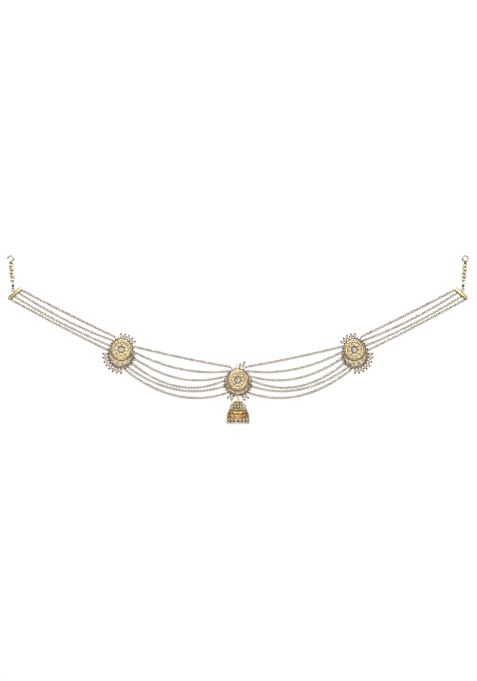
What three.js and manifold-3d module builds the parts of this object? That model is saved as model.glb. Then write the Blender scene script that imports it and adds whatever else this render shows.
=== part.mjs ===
// Kamarband: a waist belt of pearl strings between two end bars, with three round
// medallions and a bell drop (jhumka) under the middle one.
//
// Everything is drawn face on, in millimetres: x to the right, y up, z towards the
// viewer. The last lines turn the whole belt so that +Z is up and its front faces -Y.
// The origin is the centre of the middle medallion's flat back.

import * as THREE from 'three';
import { mergeVertices } from 'three/addons/utils/BufferGeometryUtils.js';
import Module from 'manifold-3d';

const wasm = await Module();
wasm.setup();

// ---------------------------------------------------------------- driving dimensions

const PEARL_R = 2.0;
const GAP = 0.3;                     // left between pieces that would touch
const MID_Z = 2.0;                   // the plane that strings, pins and chains lie in

const DISC_R = 13.6;                 // a medallion's disc
const SCALLOP = 0.4;                 // height of the lobes round its edge
const LOBES = 24;
const PLATE_Z = 2.0;
const RIM_Z = 2.8;                   // top of the raised rim that stands on the disc
const RIM_RADII = [13.0, 12.0, 11.6];   // its outer edge, inner edge and inner foot
const FLOOR_Z = 2.4;                 // the disc's floor inside the rim
const PETALS = 8;
const PETAL_HEIGHT = 1.2;
const PETAL_HOLE_R = 3.8;            // where the petals' feet end round the centre stone
const CENTRE_STONE = { radius: 3.3, tableRadius: 2.0, girdle: 1.1, height: 1.9 };
const PIN_REACH = 4.4;               // from a plate's edge to a fringe pearl's centre
const PIN_R = 0.35;
const BAND_WIDTH = 0.8;              // the strip that carries the pins round the plate
const BAND_Z = [1.5, 2.5];
const BAND_OFFSET = SCALLOP + GAP;   // from the plate's edge to the strip
const BAND_STEPS = 34;
const FRINGE_PITCH = 4.95;           // from pearl to pearl along the fringe

const BAR = { length: 23, width: 5.4, z: [0.5, 3.0], railZ: 3.6, tilt: 40.5 };
const BAR_CENTRE = [-290.0, 112.4];
const BAR_HOLES = [8.8, 3.9, -3.5, -9.6];   // where the strings leave, along the bar
const CHAIN_LEAN = 4.9;              // degrees outward from upright

const EYE = { radius: 1.3, wire: 0.45 };
const DROP_RING = { radius: 1.8, wire: 0.4 };
const JUMP_RING = { halfWidth: 1.45, halfLength: 2.1, wire: 0.5 };
const LINK = { halfWidth: 2.75, halfLength: 3.2, wire: 0.8 };
const LINK_TURN = 45;                // degrees off face-on, each link to the other side
const LINKS = 5;
const BLACK_BEAD_R = 1.75;
const BEAD_LOOP = { radius: 1.3, wire: 0.4 };
const BEAD_TOP = { halfWidth: 1.6, halfLength: 2.7, wire: 0.4 };   // its longer upper loop
const CLASP = { radius: 3.55, wire: 0.6 };
const CLASP_EYE = { radius: 1.55, wire: 0.5 };
const HOOK_TURN = [-90, 160];        // degrees at the hook's foot and at its tip
const HOOK_TIP_R = 1.0;
const KNOB = { angle: -25, reach: 4.5, radius: 0.85 };   // on the clasp's inner side

const BELL_WALL = 1.2;
const HOOP = { width: 1.6, height: 0.7 };   // carries the pearls under the bell's rim
const RIM_PEARLS = 16;               // in each of the two rows
const JOINED = 0.35;                 // how far touching pearls run into each other
const SUNK = 0.1;                    // how far an eye's wire runs into what it stands on

const RAD = Math.PI / 180;

// Medallions: place, tilt of their own upright axis, how far the crescent's centre lies
// below the disc's, its radius, and the radius of its stones as a share of its width.
const CENTRE = { x: 0, y: 0, tilt: 0, drop: 4.4, radius: 16.0, stoneShare: 0.35 };
const SIDE = { x: -151.8, y: 39.4, tilt: -6, drop: 7.6, radius: 15.9, stoneShare: 0.31 };

// Strings of the left half. Outer ones run from the bar to a point on the side
// medallion, inner ones from the side medallion to the middle one. `from` and `to` are
// measured from the medallion's centre, and each is trimmed where it meets the pin band.
const OUTER = [
  { to: [-9.0, 17.4], sag: 0.9 },
  { to: [-11.3, 12.3], sag: 4.5 },
  { to: [-15.0, 5.7], sag: 3.3 },
  { to: [-15.6, -1.2], sag: 1.2 },
];
const INNER = [
  { from: [13.9, 5.0], to: [-10.3, 17.3], sag: 1.3 },
  { from: [15.4, -2.0], to: [-11.2, 11.9], sag: 10.3 },
  { from: [13.3, -8.5], to: [-13.7, 5.8], sag: 16.1 },
  { from: [8.0, -12.8], to: [-15.3, 0.5], sag: 21.45 },
  { from: [3.0, -18.4], to: [-12.9, -6.2], sag: 19.4 },
  { from: [1.9, -23.3], to: [-13.0, -16.1], sag: 20.0 },
];

// ---------------------------------------------------------------- materials

function finish(color, roughness, metalness) {
  return new THREE.MeshStandardMaterial({ color, roughness, metalness });
}

const gold = finish(0xcdb47a, 0.3, 1.0);
const warmGold = finish(0xbe8a38, 0.32, 1.0);
const barGold = finish(0xe0bf68, 0.25, 1.0);
const agedGold = finish(0x8a6a3a, 0.4, 1.0);
const pearl = finish(0xf1ede2, 0.25, 0.0);
const stone = finish(0xe8e6e0, 0.1, 0.0);
const black = finish(0x0c0b0a, 0.2, 0.0);

// ---------------------------------------------------------------- solids

function toSolid(geometry) {
  geometry.deleteAttribute('normal');
  geometry.deleteAttribute('uv');
  const welded = mergeVertices(geometry, 1e-4);
  const mesh = new wasm.Mesh({
    numProp: 3,
    vertProperties: new Float32Array(welded.attributes.position.array),
    triVerts: new Uint32Array(welded.index.array),
  });
  const solid = new wasm.Manifold(mesh);
  if (solid.volume() > 0) return solid;
  mesh.triVerts = mesh.triVerts.slice().reverse();
  return new wasm.Manifold(mesh);
}

function fuse(geometries) {
  const whole = geometries.map(toSolid).reduce((sum, solid) => sum.add(solid));
  const mesh = whole.getMesh();
  const geometry = new THREE.BufferGeometry();
  geometry.setAttribute('position', new THREE.Float32BufferAttribute(mesh.vertProperties, 3));
  geometry.setIndex(new THREE.BufferAttribute(new Uint32Array(mesh.triVerts), 1));
  return geometry;
}

function extruded(points, [low, high]) {
  const shape = new THREE.Shape(points);
  const geometry = new THREE.ExtrudeGeometry(shape, { depth: high - low, bevelEnabled: false });
  return geometry.translate(0, 0, low);
}

// A profile of [radius, height] pairs turned about the z axis.
function turned(profile, segments) {
  const points = profile.map(([r, h]) => new THREE.Vector2(r, h));
  return new THREE.LatheGeometry(points, segments).rotateX(Math.PI / 2);
}

// A pearl as an icosahedron with one corner turned towards `axis` (radians from +y).
const CORNER_ANGLE = Math.atan(2 / (1 + Math.sqrt(5)));

function ball(radius, x, y, z, axis = 0) {
  return new THREE.IcosahedronGeometry(radius, 0).rotateZ(axis - CORNER_ANGLE).translate(x, y, z);
}

// A closed loop of round wire in the xy plane: two half circles with straight sides
// between them, or a plain ring where both halves are equal.
function wireLoop(halfWidth, halfLength, wire, segments = 10, sides = 5) {
  const positions = [];
  const index = [];
  for (let i = 0; i < segments; i += 1) {
    const turn = ((i + 0.5) / segments) * 2 * Math.PI;
    const [cos, sin] = [Math.cos(turn), Math.sin(turn)];
    const shift = Math.sign(sin) * (halfLength - halfWidth);
    for (let j = 0; j < sides; j += 1) {
      const roll = (j / sides) * 2 * Math.PI;
      const reach = halfWidth + wire * Math.cos(roll);
      positions.push(reach * cos, reach * sin + shift, wire * Math.sin(roll));
      const here = i * sides;
      const next = ((i + 1) % segments) * sides;
      const k = (j + 1) % sides;
      index.push(here + j, next + j, next + k, here + j, next + k, here + k);
    }
  }
  const geometry = new THREE.BufferGeometry();
  geometry.setAttribute('position', new THREE.Float32BufferAttribute(positions, 3));
  geometry.setIndex(index);
  return geometry;
}

function ring(radius, wire, segments = 10, sides = 5) {
  return wireLoop(radius, radius, wire, segments, sides);
}

function edgeOn(geometry) {
  return geometry.rotateY(Math.PI / 2);
}

// A square pin from one point to another, in the plane of the strings.
function pin(from, to) {
  const length = Math.hypot(to[0] - from[0], to[1] - from[1]);
  const angle = Math.atan2(to[1] - from[1], to[0] - from[0]);
  return new THREE.CylinderGeometry(PIN_R, PIN_R, length, 4)
    .rotateZ(angle - Math.PI / 2)
    .translate((from[0] + to[0]) / 2, (from[1] + to[1]) / 2, MID_Z);
}

// ---------------------------------------------------------------- assembly helpers

const belt = new THREE.Group();

function place(name, geometry, look, x = 0, y = 0, tilt = 0) {
  const mesh = new THREE.Mesh(geometry, look);
  mesh.name = name;
  mesh.position.set(x, y, 0);
  mesh.rotation.z = tilt * RAD;
  belt.add(mesh);
}

// The two halves mirror each other: side -1 is the left half, as the tables give it.
const HALVES = [
  { label: 'left', side: -1 },
  { label: 'right', side: 1 },
];

function mirrored([x, y], side) {
  return [-side * x, y];
}

// ---------------------------------------------------------------- medallion outline

// Distance from the disc's centre to the plate's edge, grown by `extra`, in the
// direction `angle` (radians, 90 degrees is the medallion's own top).
function plateRadius(medallion, angle, extra = 0) {
  const along = -medallion.drop * Math.sin(angle);
  const radius = medallion.radius + extra;
  const crescent = along + Math.sqrt(radius ** 2 - medallion.drop ** 2 + along ** 2);
  return Math.max(DISC_R + extra, crescent);
}

function outlinePoint(medallion, angle, extra) {
  const radius = plateRadius(medallion, angle, extra);
  return new THREE.Vector2(radius * Math.cos(angle), radius * Math.sin(angle));
}

// The plate's edge: one hollow and one crest to each lobe.
function lobedOutline(medallion) {
  const points = [];
  for (let i = 0; i < 2 * LOBES; i += 1) {
    const crest = i % 2 === 1 ? SCALLOP : 0;
    points.push(outlinePoint(medallion, (i * Math.PI) / LOBES, crest));
  }
  return points;
}

// Distance from a point of the belt's plane to the plate's edge, negative inside it.
function clearanceToPlate(medallion, [x, y]) {
  const toDisc = Math.hypot(x - medallion.x, y - medallion.y) - DISC_R;
  const down = (medallion.tilt - 90) * RAD;
  const crescentX = medallion.x + medallion.drop * Math.cos(down);
  const crescentY = medallion.y + medallion.drop * Math.sin(down);
  const toCrescent = Math.hypot(x - crescentX, y - crescentY) - medallion.radius;
  return Math.min(toDisc, toCrescent);
}

// ---------------------------------------------------------------- strings of pearls

class Stretch extends THREE.Curve {
  constructor(route, start, end) {
    super();
    this.route = route;
    this.start = start;
    this.end = end;
  }

  getPoint(t, target = new THREE.Vector3()) {
    return this.route.getPoint(this.start + (this.end - this.start) * t, target);
  }
}

// A string hangs as a parabola: the quadratic curve whose middle lies `sag` below the
// middle of its chord.
function hanging([ax, ay], [bx, by], sag) {
  return new THREE.QuadraticBezierCurve3(
    new THREE.Vector3(ax, ay, MID_Z),
    new THREE.Vector3((ax + bx) / 2, (ay + by) / 2 - 2 * sag, MID_Z),
    new THREE.Vector3(bx, by, MID_Z),
  );
}

// The route is cut back at each end until a string's flat end clears what it meets.
const BAND_CLEARANCE = BAND_OFFSET + BAND_WIDTH + GAP;
const TRIM_STEP = 0.0005;

function endIsClear(route, t, isClear) {
  const point = route.getPoint(t);
  const heading = route.getTangent(t);
  return [-PEARL_R, 0, PEARL_R].every((offset) => (
    isClear([point.x - heading.y * offset, point.y + heading.x * offset])
  ));
}

function trimmed(route, clearAtStart, clearAtEnd) {
  let start = 0;
  let end = 1;
  while (!endIsClear(route, start, clearAtStart)) start += TRIM_STEP;
  while (!endIsClear(route, end, clearAtEnd)) end -= TRIM_STEP;
  return new Stretch(route, start, end);
}

const OUTER_STEPS = 4;
const INNER_STEPS = 8;

function stringGeometry(route, steps) {
  const section = new THREE.Shape();
  section.absarc(0, 0, PEARL_R, 0, 2 * Math.PI);
  return new THREE.ExtrudeGeometry(section, {
    steps,
    curveSegments: 4,
    bevelEnabled: false,
    extrudePath: route,
  });
}

function medallionAt(base, side) {
  return { ...base, x: -side * base.x, tilt: -side * base.tilt };
}

function offsetFrom(medallion, point, side) {
  const [dx, dy] = mirrored(point, side);
  return [medallion.x + dx, medallion.y + dy];
}

// A point of an end bar: `along` it towards the belt's middle, and `out` of it towards
// the chain.
function onBar(along, out, side) {
  const turn = BAR.tilt * RAD;
  const x = BAR_CENTRE[0] + along * Math.cos(turn) - out * Math.sin(turn);
  const y = BAR_CENTRE[1] + along * Math.sin(turn) + out * Math.cos(turn);
  return mirrored([x, y], side);
}

function clearOfBar([x, y], side) {
  const turn = BAR.tilt * RAD;
  const [dx, dy] = [-side * x - BAR_CENTRE[0], y - BAR_CENTRE[1]];
  return dx * Math.sin(turn) - dy * Math.cos(turn) >= BAR.width / 2 + GAP;
}

function clearOfPlate(medallion) {
  return (point) => clearanceToPlate(medallion, point) >= BAND_CLEARANCE;
}

function stringsOf(side) {
  const sideMedallion = medallionAt(SIDE, side);
  const outer = OUTER.map(({ to, sag }, i) => {
    const whole = hanging(onBar(BAR_HOLES[i], 0, side), offsetFrom(sideMedallion, to, side), sag);
    const route = trimmed(whole, (point) => clearOfBar(point, side), clearOfPlate(sideMedallion));
    return { kind: 'outer', route, steps: OUTER_STEPS };
  });
  const inner = INNER.map(({ from, to, sag }) => {
    const whole = hanging(offsetFrom(sideMedallion, from, side), offsetFrom(CENTRE, to, side), sag);
    const route = trimmed(whole, clearOfPlate(sideMedallion), clearOfPlate(CENTRE));
    return { kind: 'inner', route, steps: INNER_STEPS };
  });
  return [...outer, ...inner];
}

const strings = HALVES.map(({ side }) => stringsOf(side));
const STRING_SAMPLES = 80;
const stringPoints = strings.flat().flatMap(({ route }) => route.getPoints(STRING_SAMPLES));

function addStrings() {
  HALVES.forEach(({ label }, half) => {
    const counts = { outer: 0, inner: 0 };
    strings[half].forEach(({ kind, route, steps }) => {
      counts[kind] += 1;
      place(`${label}_${kind}_string_${counts[kind]}`, stringGeometry(route, steps), pearl);
    });
  });
}

// ---------------------------------------------------------------- medallions

// Stones set in the crescent, in degrees from its foot to both sides.
const DOME = { height: 1.6, topFactor: 0.55, sunk: 0.2 };
const SETTING_TURNS = [0, 20, 40, 59, 76];

function settingDome(medallion, turn) {
  const angle = (turn - 90) * RAD;
  const edge = plateRadius(medallion, angle);
  const reach = (DISC_R + edge) / 2;
  const radius = medallion.stoneShare * (edge - DISC_R);
  const middle = PLATE_Z + DOME.height / 2 - DOME.sunk;
  return new THREE.CylinderGeometry(radius * DOME.topFactor, radius, DOME.height, 6)
    .rotateX(Math.PI / 2)
    .translate(reach * Math.cos(angle), reach * Math.sin(angle), middle);
}

// The raised rim and floor of the disc, sunk halfway into the plate below.
function discFace() {
  const base = PLATE_Z / 2;
  const [outer, inner, foot] = RIM_RADII;
  const profile = [
    [0, base], [outer, base], [outer, RIM_Z], [inner, RIM_Z], [foot, FLOOR_Z], [0, FLOOR_Z],
  ];
  return turned(profile, LOBES);
}

function plateGeometry(medallion, extras = []) {
  const plate = extruded(lobedOutline(medallion), [0, PLATE_Z]);
  const domes = SETTING_TURNS.flatMap((turn) => {
    const turns = turn === 0 ? [0] : [-turn, turn];
    return turns.map((each) => settingDome(medallion, each));
  });
  return fuse([plate, discFace(), ...domes, ...extras]);
}

// Eight petal-shaped stones round the centre stone, joined at their feet.
const PETAL_LINE = [[4.6, -22.5], [6.6, -15], [8.5, 0], [6.6, 15]];   // radius, degrees

function petalGeometry() {
  const base = FLOOR_Z + GAP;
  const star = new THREE.Shape();
  const points = [];
  for (let i = 0; i < PETALS; i += 1) {
    PETAL_LINE.forEach(([radius, turn]) => {
      const angle = ((i / PETALS) * 360 + turn) * RAD;
      points.push(new THREE.Vector2(radius * Math.cos(angle), radius * Math.sin(angle)));
    });
  }
  star.setFromPoints(points);
  star.holes.push(new THREE.Path().absarc(0, 0, PETAL_HOLE_R, 0, 2 * Math.PI, true));
  const settings = { depth: PETAL_HEIGHT, bevelEnabled: false, curveSegments: 4 };
  return fuse([new THREE.ExtrudeGeometry(star, settings).translate(0, 0, base)]);
}

function centreStoneGeometry() {
  const { radius, tableRadius, girdle, height } = CENTRE_STONE;
  const base = FLOOR_Z + GAP;
  const top = base + height;
  return turned([[0, base], [radius, base], [radius, base + girdle], [tableRadius, top], [0, top]], 12);
}

// Places of the fringe pearls round a plate, as {x, y, footX, footY} in the
// medallion's own axes: in pairs along the crescent, leaving out the lowest
// `skippedPairs`, then round the disc wherever the crescent hardly stands out of it.
const CRESCENT_PAIRS = 8;
const HARDLY_OUT = 1.5;

function fringePlaces(medallion, skippedPairs) {
  const places = [];
  const reach = medallion.radius + PIN_REACH;
  const step = FRINGE_PITCH / reach;
  for (let i = skippedPairs; i < CRESCENT_PAIRS; i += 1) {
    for (const side of [-1, 1]) {
      const angle = -Math.PI / 2 + side * (i + 0.5) * step;
      const foot = medallion.radius + BAND_OFFSET;
      places.push({
        x: reach * Math.cos(angle),
        y: reach * Math.sin(angle) - medallion.drop,
        footX: foot * Math.cos(angle),
        footY: foot * Math.sin(angle) - medallion.drop,
      });
    }
  }
  const onCrescent = [...places];
  for (let i = 0; i < LOBES; i += 1) {
    const angle = ((i + 0.5) / LOBES) * 2 * Math.PI;
    const x = (DISC_R + PIN_REACH) * Math.cos(angle);
    const y = (DISC_R + PIN_REACH) * Math.sin(angle);
    const crowded = onCrescent.some((p) => Math.hypot(p.x - x, p.y - y) < 2 * PEARL_R + GAP);
    if (!crowded && plateRadius(medallion, angle) < DISC_R + HARDLY_OUT) {
      const foot = plateRadius(medallion, angle, BAND_OFFSET);
      places.push({ x, y, footX: foot * Math.cos(angle), footY: foot * Math.sin(angle) });
    }
  }
  return places;
}

function clearOfStrings(medallion, { x, y }) {
  const turn = medallion.tilt * RAD;
  const worldX = medallion.x + x * Math.cos(turn) - y * Math.sin(turn);
  const worldY = medallion.y + x * Math.sin(turn) + y * Math.cos(turn);
  return stringPoints.every((p) => Math.hypot(p.x - worldX, p.y - worldY) > 2 * PEARL_R + GAP);
}

// The strip starts and ends `open` radians to either side of the medallion's foot.
const SEAM = 2 * RAD;
const ROOM_FOR_EYE = 9 * RAD;

function bandGeometry(medallion, open) {
  const inner = [];
  const outer = [];
  for (let i = 0; i <= BAND_STEPS; i += 1) {
    const angle = -Math.PI / 2 + open + ((2 * Math.PI - 2 * open) * i) / BAND_STEPS;
    inner.unshift(outlinePoint(medallion, angle, BAND_OFFSET));
    outer.push(outlinePoint(medallion, angle, BAND_OFFSET + BAND_WIDTH));
  }
  return extruded([...outer, ...inner], BAND_Z);
}

function fringeGeometry(medallion, open, places) {
  const parts = [bandGeometry(medallion, open)];
  places.forEach(({ x, y, footX, footY, bare }) => {
    parts.push(pin([footX, footY], [x, y]));
    const heading = Math.atan2(y - footY, x - footX) - Math.PI / 2;
    if (!bare) parts.push(ball(PEARL_R, x, y, MID_Z, heading));
  });
  return fuse(parts);
}

function addMedallion(label, medallion, plate, open, places) {
  const { x, y, tilt } = medallion;
  place(`${label}_plate`, plate, gold, x, y, tilt);
  place(`${label}_petal_stones`, petalGeometry(), stone, x, y, tilt);
  place(`${label}_centre_stone`, centreStoneGeometry(), stone, x, y, tilt);
  place(`${label}_pearl_fringe`, fringeGeometry(medallion, open, places), pearl, x, y, tilt);
}

function addSideMedallions() {
  HALVES.forEach(({ label, side }) => {
    const medallion = medallionAt(SIDE, side);
    const places = fringePlaces(medallion, 0).filter((p) => clearOfStrings(medallion, p));
    addMedallion(`${label}_medallion`, medallion, plateGeometry(medallion), SEAM, places);
  });
}

// The middle medallion carries the drop: its band is open round the eye, one pin at
// the top has lost its pearl and the pearl next to it stands on a longer pin.
const EYE_Y = -(CENTRE.drop + CENTRE.radius) - EYE.radius;
const BARE_PIN = { angle: 97.5, reach: 21.3 };
const LONG_PIN = { angle: 70, reach: 21.9 };

function topPin({ angle, reach }, bare) {
  const foot = DISC_R + BAND_OFFSET;
  const [cos, sin] = [Math.cos(angle * RAD), Math.sin(angle * RAD)];
  return { x: reach * cos, y: reach * sin, footX: foot * cos, footY: foot * sin, bare };
}

function addCentreMedallion() {
  const eye = ring(EYE.radius, EYE.wire).translate(0, EYE_Y, MID_Z);
  const replaced = [BARE_PIN, LONG_PIN].map((pin) => topPin(pin, pin === BARE_PIN));
  const kept = fringePlaces(CENTRE, 1)
    .filter((p) => clearOfStrings(CENTRE, p))
    .filter((p) => replaced.every((pin) => Math.hypot(pin.x - p.x, pin.y - p.y) > 2 * PEARL_R));
  const places = [...kept, ...replaced];
  addMedallion('centre_medallion', CENTRE, plateGeometry(CENTRE, [eye]), ROOM_FOR_EYE, places);
}

// ---------------------------------------------------------------- drop (jhumka)

// Two wires that cross and pull on each other stand this far apart, middle to middle.
const WIRE_GAP = 0.25;

function crossing(wireA, wireB) {
  return wireA + wireB + WIRE_GAP;
}

const DROP_PIVOT_Y = EYE_Y - EYE.radius;
const DROP_RING_Y = DROP_PIVOT_Y + crossing(EYE.wire, DROP_RING.wire) - DROP_RING.radius;
const SWING_PIVOT_Y = DROP_RING_Y - DROP_RING.radius;
const BELL_EYE_Y = SWING_PIVOT_Y + crossing(DROP_RING.wire, EYE.wire) - EYE.radius;
const APEX_Y = BELL_EYE_Y - EYE.radius;

// Outer line of the cap and bell: radius against depth below the apex.
const BELL_LINE = [
  [1.0, 0], [2.2, 1.0], [6.8, 7.6], [7.2, 8.5], [10.6, 10.3],
  [11.5, 11.6], [13.0, 14.8], [14.2, 18.4], [14.35, 21.4],
];
const [RIM_R, RIM_DEPTH] = BELL_LINE[BELL_LINE.length - 1];
const BELL_SEGMENTS = 16;

// A profile of [radius, depth below the apex] turned about the drop's upright line.
function upright(profile, segments) {
  const points = profile.map(([r, depth]) => new THREE.Vector2(r, APEX_Y - depth));
  return new THREE.LatheGeometry(points, segments).translate(0, 0, MID_Z);
}

// The inner line is the outer one moved in and down, square to the cap's slope.
function bellGeometry() {
  const inward = BELL_WALL * 0.8;
  const down = BELL_WALL * 0.6;
  const inside = BELL_LINE.slice(1).map(([r, depth]) => [r - inward, depth + down]);
  inside[inside.length - 1][1] = RIM_DEPTH;
  const ceiling = inside[0][1];
  const profile = [[0, 0], ...BELL_LINE, ...inside.reverse(), [0, ceiling]];
  const eye = ring(EYE.radius, EYE.wire).translate(0, BELL_EYE_Y, MID_Z);
  return fuse([upright(profile, BELL_SEGMENTS), eye]);
}

// Three rows of small pearls sewn round the cap, as one sleeve that bulges at each row.
const CAP_PEARL_R = 1.75;
const CAP_ROWS = [[4.9, 1.3], [7.05, 4.35], [9.2, 7.3]];
const CAP_SLOPE = Math.atan2(CAP_ROWS[2][1] - CAP_ROWS[0][1], CAP_ROWS[2][0] - CAP_ROWS[0][0]);

function capPearlGeometry() {
  const outline = [];
  CAP_ROWS.forEach(([r, depth]) => {
    for (const turn of [-60, 0, 60]) {
      const angle = CAP_SLOPE - Math.PI / 2 + turn * RAD;
      outline.push([r + CAP_PEARL_R * Math.cos(angle), depth + CAP_PEARL_R * Math.sin(angle)]);
    }
  });
  const inner = CAP_ROWS.map(([r, depth]) => {
    const angle = CAP_SLOPE + Math.PI / 2;
    return [r + CAP_PEARL_R * Math.cos(angle), depth + CAP_PEARL_R * Math.sin(angle)];
  });
  const profile = [...outline, inner[2], inner[0], outline[0]];
  return fuse([upright(profile, BELL_SEGMENTS)]);
}

function pearlCircle(radius, depth) {
  const pearls = [];
  for (let i = 0; i < RIM_PEARLS; i += 1) {
    const turn = ((i + 0.5) / RIM_PEARLS) * 2 * Math.PI;
    const [x, z] = [radius * Math.sin(turn), MID_Z + radius * Math.cos(turn)];
    pearls.push(ball(PEARL_R, x, APEX_Y - depth, z));
  }
  return pearls;
}

// A hoop under the bell's rim with pearls hanging from it in pairs.
function rimPearlGeometry() {
  const [inner, outer] = [RIM_R - HOOP.width, RIM_R];
  const top = RIM_DEPTH + GAP;
  const low = top + HOOP.height;
  const outline = [[inner, top], [outer, top], [outer, low], [inner, low], [inner, top]];
  const hoop = upright(outline, RIM_PEARLS);
  const circle = (inner + outer) / 2;
  const firstRow = low + PEARL_R - JOINED;
  const secondRow = firstRow + 2 * PEARL_R - JOINED;
  return fuse([hoop, ...pearlCircle(circle, firstRow), ...pearlCircle(circle, secondRow)]);
}

function addDrop() {
  const dropRing = edgeOn(ring(DROP_RING.radius, DROP_RING.wire));
  place('drop_ring', dropRing.translate(0, DROP_RING_Y, MID_Z), gold);
  place('drop_bell', bellGeometry(), warmGold);
  place('drop_cap_pearls', capPearlGeometry(), pearl);
  place('drop_rim_pearls', rimPearlGeometry(), pearl);
}

// ---------------------------------------------------------------- bars and chains

const BAR_EYE = { radius: 1.25, wire: 0.45, along: 0.1 };
const BAR_EYE_OUT = BAR.width / 2 + BAR_EYE.radius - SUNK;   // from the bar's middle line
const RAIL = { shorter: 1.2, narrower: 2.5, foot: BAR.z[1] - GAP, shift: 0.35 };

function roundedBar(length, width) {
  const half = length / 2 - width / 2;
  const shape = new THREE.Shape();
  shape.absarc(half, 0, width / 2, -Math.PI / 2, Math.PI / 2);
  shape.absarc(-half, 0, width / 2, Math.PI / 2, (3 * Math.PI) / 2);
  return shape.getPoints(3);
}

function barGeometry(side) {
  const body = extruded(roundedBar(BAR.length, BAR.width), BAR.z);
  const railOutline = roundedBar(BAR.length - RAIL.shorter, BAR.width - RAIL.narrower);
  const rail = extruded(railOutline, [RAIL.foot, BAR.railZ]).translate(0, RAIL.shift, 0);
  const eye = edgeOn(ring(BAR_EYE.radius, BAR_EYE.wire)).rotateZ(side * (BAR.tilt - CHAIN_LEAN) * RAD);
  eye.translate(-side * BAR_EYE.along, BAR_EYE_OUT, MID_Z);
  return fuse([body, rail, eye]);
}

function beadGeometry() {
  const bead = new THREE.SphereGeometry(BLACK_BEAD_R, 8, 5);
  const lower = edgeOn(ring(BEAD_LOOP.radius, BEAD_LOOP.wire));
  lower.translate(0, SUNK - BLACK_BEAD_R - BEAD_LOOP.radius, 0);
  const upper = wireLoop(BEAD_TOP.halfWidth, BEAD_TOP.halfLength, BEAD_TOP.wire);
  upper.rotateY(-LINK_TURN * RAD).translate(0, BLACK_BEAD_R + BEAD_TOP.halfLength - SUNK, 0);
  return fuse([bead, lower, upper]);
}

const CLASP_Y = 2 * CLASP_EYE.radius + CLASP.radius + SUNK;   // above its eye's lowest wire

function claspEye() {
  const eye = ring(CLASP_EYE.radius, CLASP_EYE.wire).rotateY(-LINK_TURN * RAD);
  return eye.translate(0, CLASP_EYE.radius, 0);
}

function claspKnob(side) {
  const x = -side * KNOB.reach * Math.cos(KNOB.angle * RAD);
  return ball(KNOB.radius, x, CLASP_Y + KNOB.reach * Math.sin(KNOB.angle * RAD), 0);
}

function endRingGeometry() {
  const endRing = ring(CLASP.radius, CLASP.wire, 18).translate(0, CLASP_Y, 0);
  return fuse([endRing, claspKnob(1), claspEye()]);
}

function arcPoints(radius, [from, to], count) {
  const points = [];
  for (let i = 0; i <= count; i += 1) {
    const angle = (from + ((to - from) * i) / count) * RAD;
    points.push(new THREE.Vector3(radius * Math.cos(angle), radius * Math.sin(angle), 0));
  }
  return points;
}

function endHookGeometry() {
  const points = arcPoints(CLASP.radius, HOOK_TURN, 16);
  const arc = new THREE.CatmullRomCurve3(points, false, 'centripetal');
  const section = new THREE.Shape();
  section.absarc(0, 0, CLASP.wire, 0, 2 * Math.PI);
  const hook = new THREE.ExtrudeGeometry(section, {
    steps: 12,
    curveSegments: 3,
    bevelEnabled: false,
    extrudePath: arc,
  });
  const tip = arc.getPoint(1);
  const tipBall = ball(HOOK_TIP_R, tip.x, tip.y + CLASP_Y, 0);
  return fuse([hook.translate(0, CLASP_Y, 0), tipBall, claspKnob(-1), claspEye()]);
}

// The pieces of one chain from the bar's eye upwards. `below` and `above` are the
// distances from a piece's origin to its lowest wire and to its highest one.
function chainPieces(label) {
  const beadBelow = BLACK_BEAD_R + 2 * BEAD_LOOP.radius - SUNK;
  const beadAbove = BLACK_BEAD_R + 2 * BEAD_TOP.halfLength - SUNK;
  const jump = () => wireLoop(JUMP_RING.halfWidth, JUMP_RING.halfLength, JUMP_RING.wire);
  const link = () => wireLoop(LINK.halfWidth, LINK.halfLength, LINK.wire);
  const sized = (name, build, size, look) => (
    { name, build, look, wire: size.wire, below: size.halfLength, above: size.halfLength }
  );
  const bead = { name: 'black_bead', build: beadGeometry, wire: BEAD_LOOP.wire, look: black };
  const pieces = [
    sized('jump_ring', jump, JUMP_RING, agedGold),
    { ...bead, below: beadBelow, above: beadAbove },
  ];
  for (let i = 1; i <= LINKS; i += 1) {
    const turn = (i % 2 === 1 ? LINK_TURN : -LINK_TURN) * RAD;
    pieces.push(sized(`chain_link_${i}`, () => link().rotateY(turn), LINK, gold));
  }
  const hook = { name: 'end_hook', build: endHookGeometry };
  const endRing = { name: 'end_ring', build: endRingGeometry };
  const clasp = label === 'left' ? hook : endRing;
  pieces.push({ ...clasp, wire: CLASP_EYE.wire, below: 0, above: 0, look: agedGold });
  return pieces;
}

function addEnd(label, side) {
  const tilt = -side * BAR.tilt;
  place(`${label}_end_bar`, barGeometry(side), barGold, ...mirrored(BAR_CENTRE, side), tilt);

  const eye = onBar(BAR_EYE.along, BAR_EYE_OUT, side);
  const lean = -side * CHAIN_LEAN * RAD;
  let reached = BAR_EYE.radius;
  let wire = BAR_EYE.wire;
  chainPieces(label).forEach((piece) => {
    const lowest = reached - crossing(wire, piece.wire);
    const middle = lowest + piece.below;
    const geometry = piece.build().translate(0, 0, MID_Z);
    place(`${label}_${piece.name}`, geometry, piece.look,
      eye[0] - middle * Math.sin(lean), eye[1] + middle * Math.cos(lean), lean / RAD);
    reached = middle + piece.above;
    wire = piece.wire;
  });
}

// ---------------------------------------------------------------- the belt

addCentreMedallion();
addSideMedallions();
addStrings();
HALVES.forEach(({ label, side }) => addEnd(label, side));
addDrop();

belt.rotation.x = Math.PI / 2;

const kamarband = new THREE.Group();
kamarband.name = 'kamarband';
kamarband.add(belt);

export default kamarband;
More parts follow.
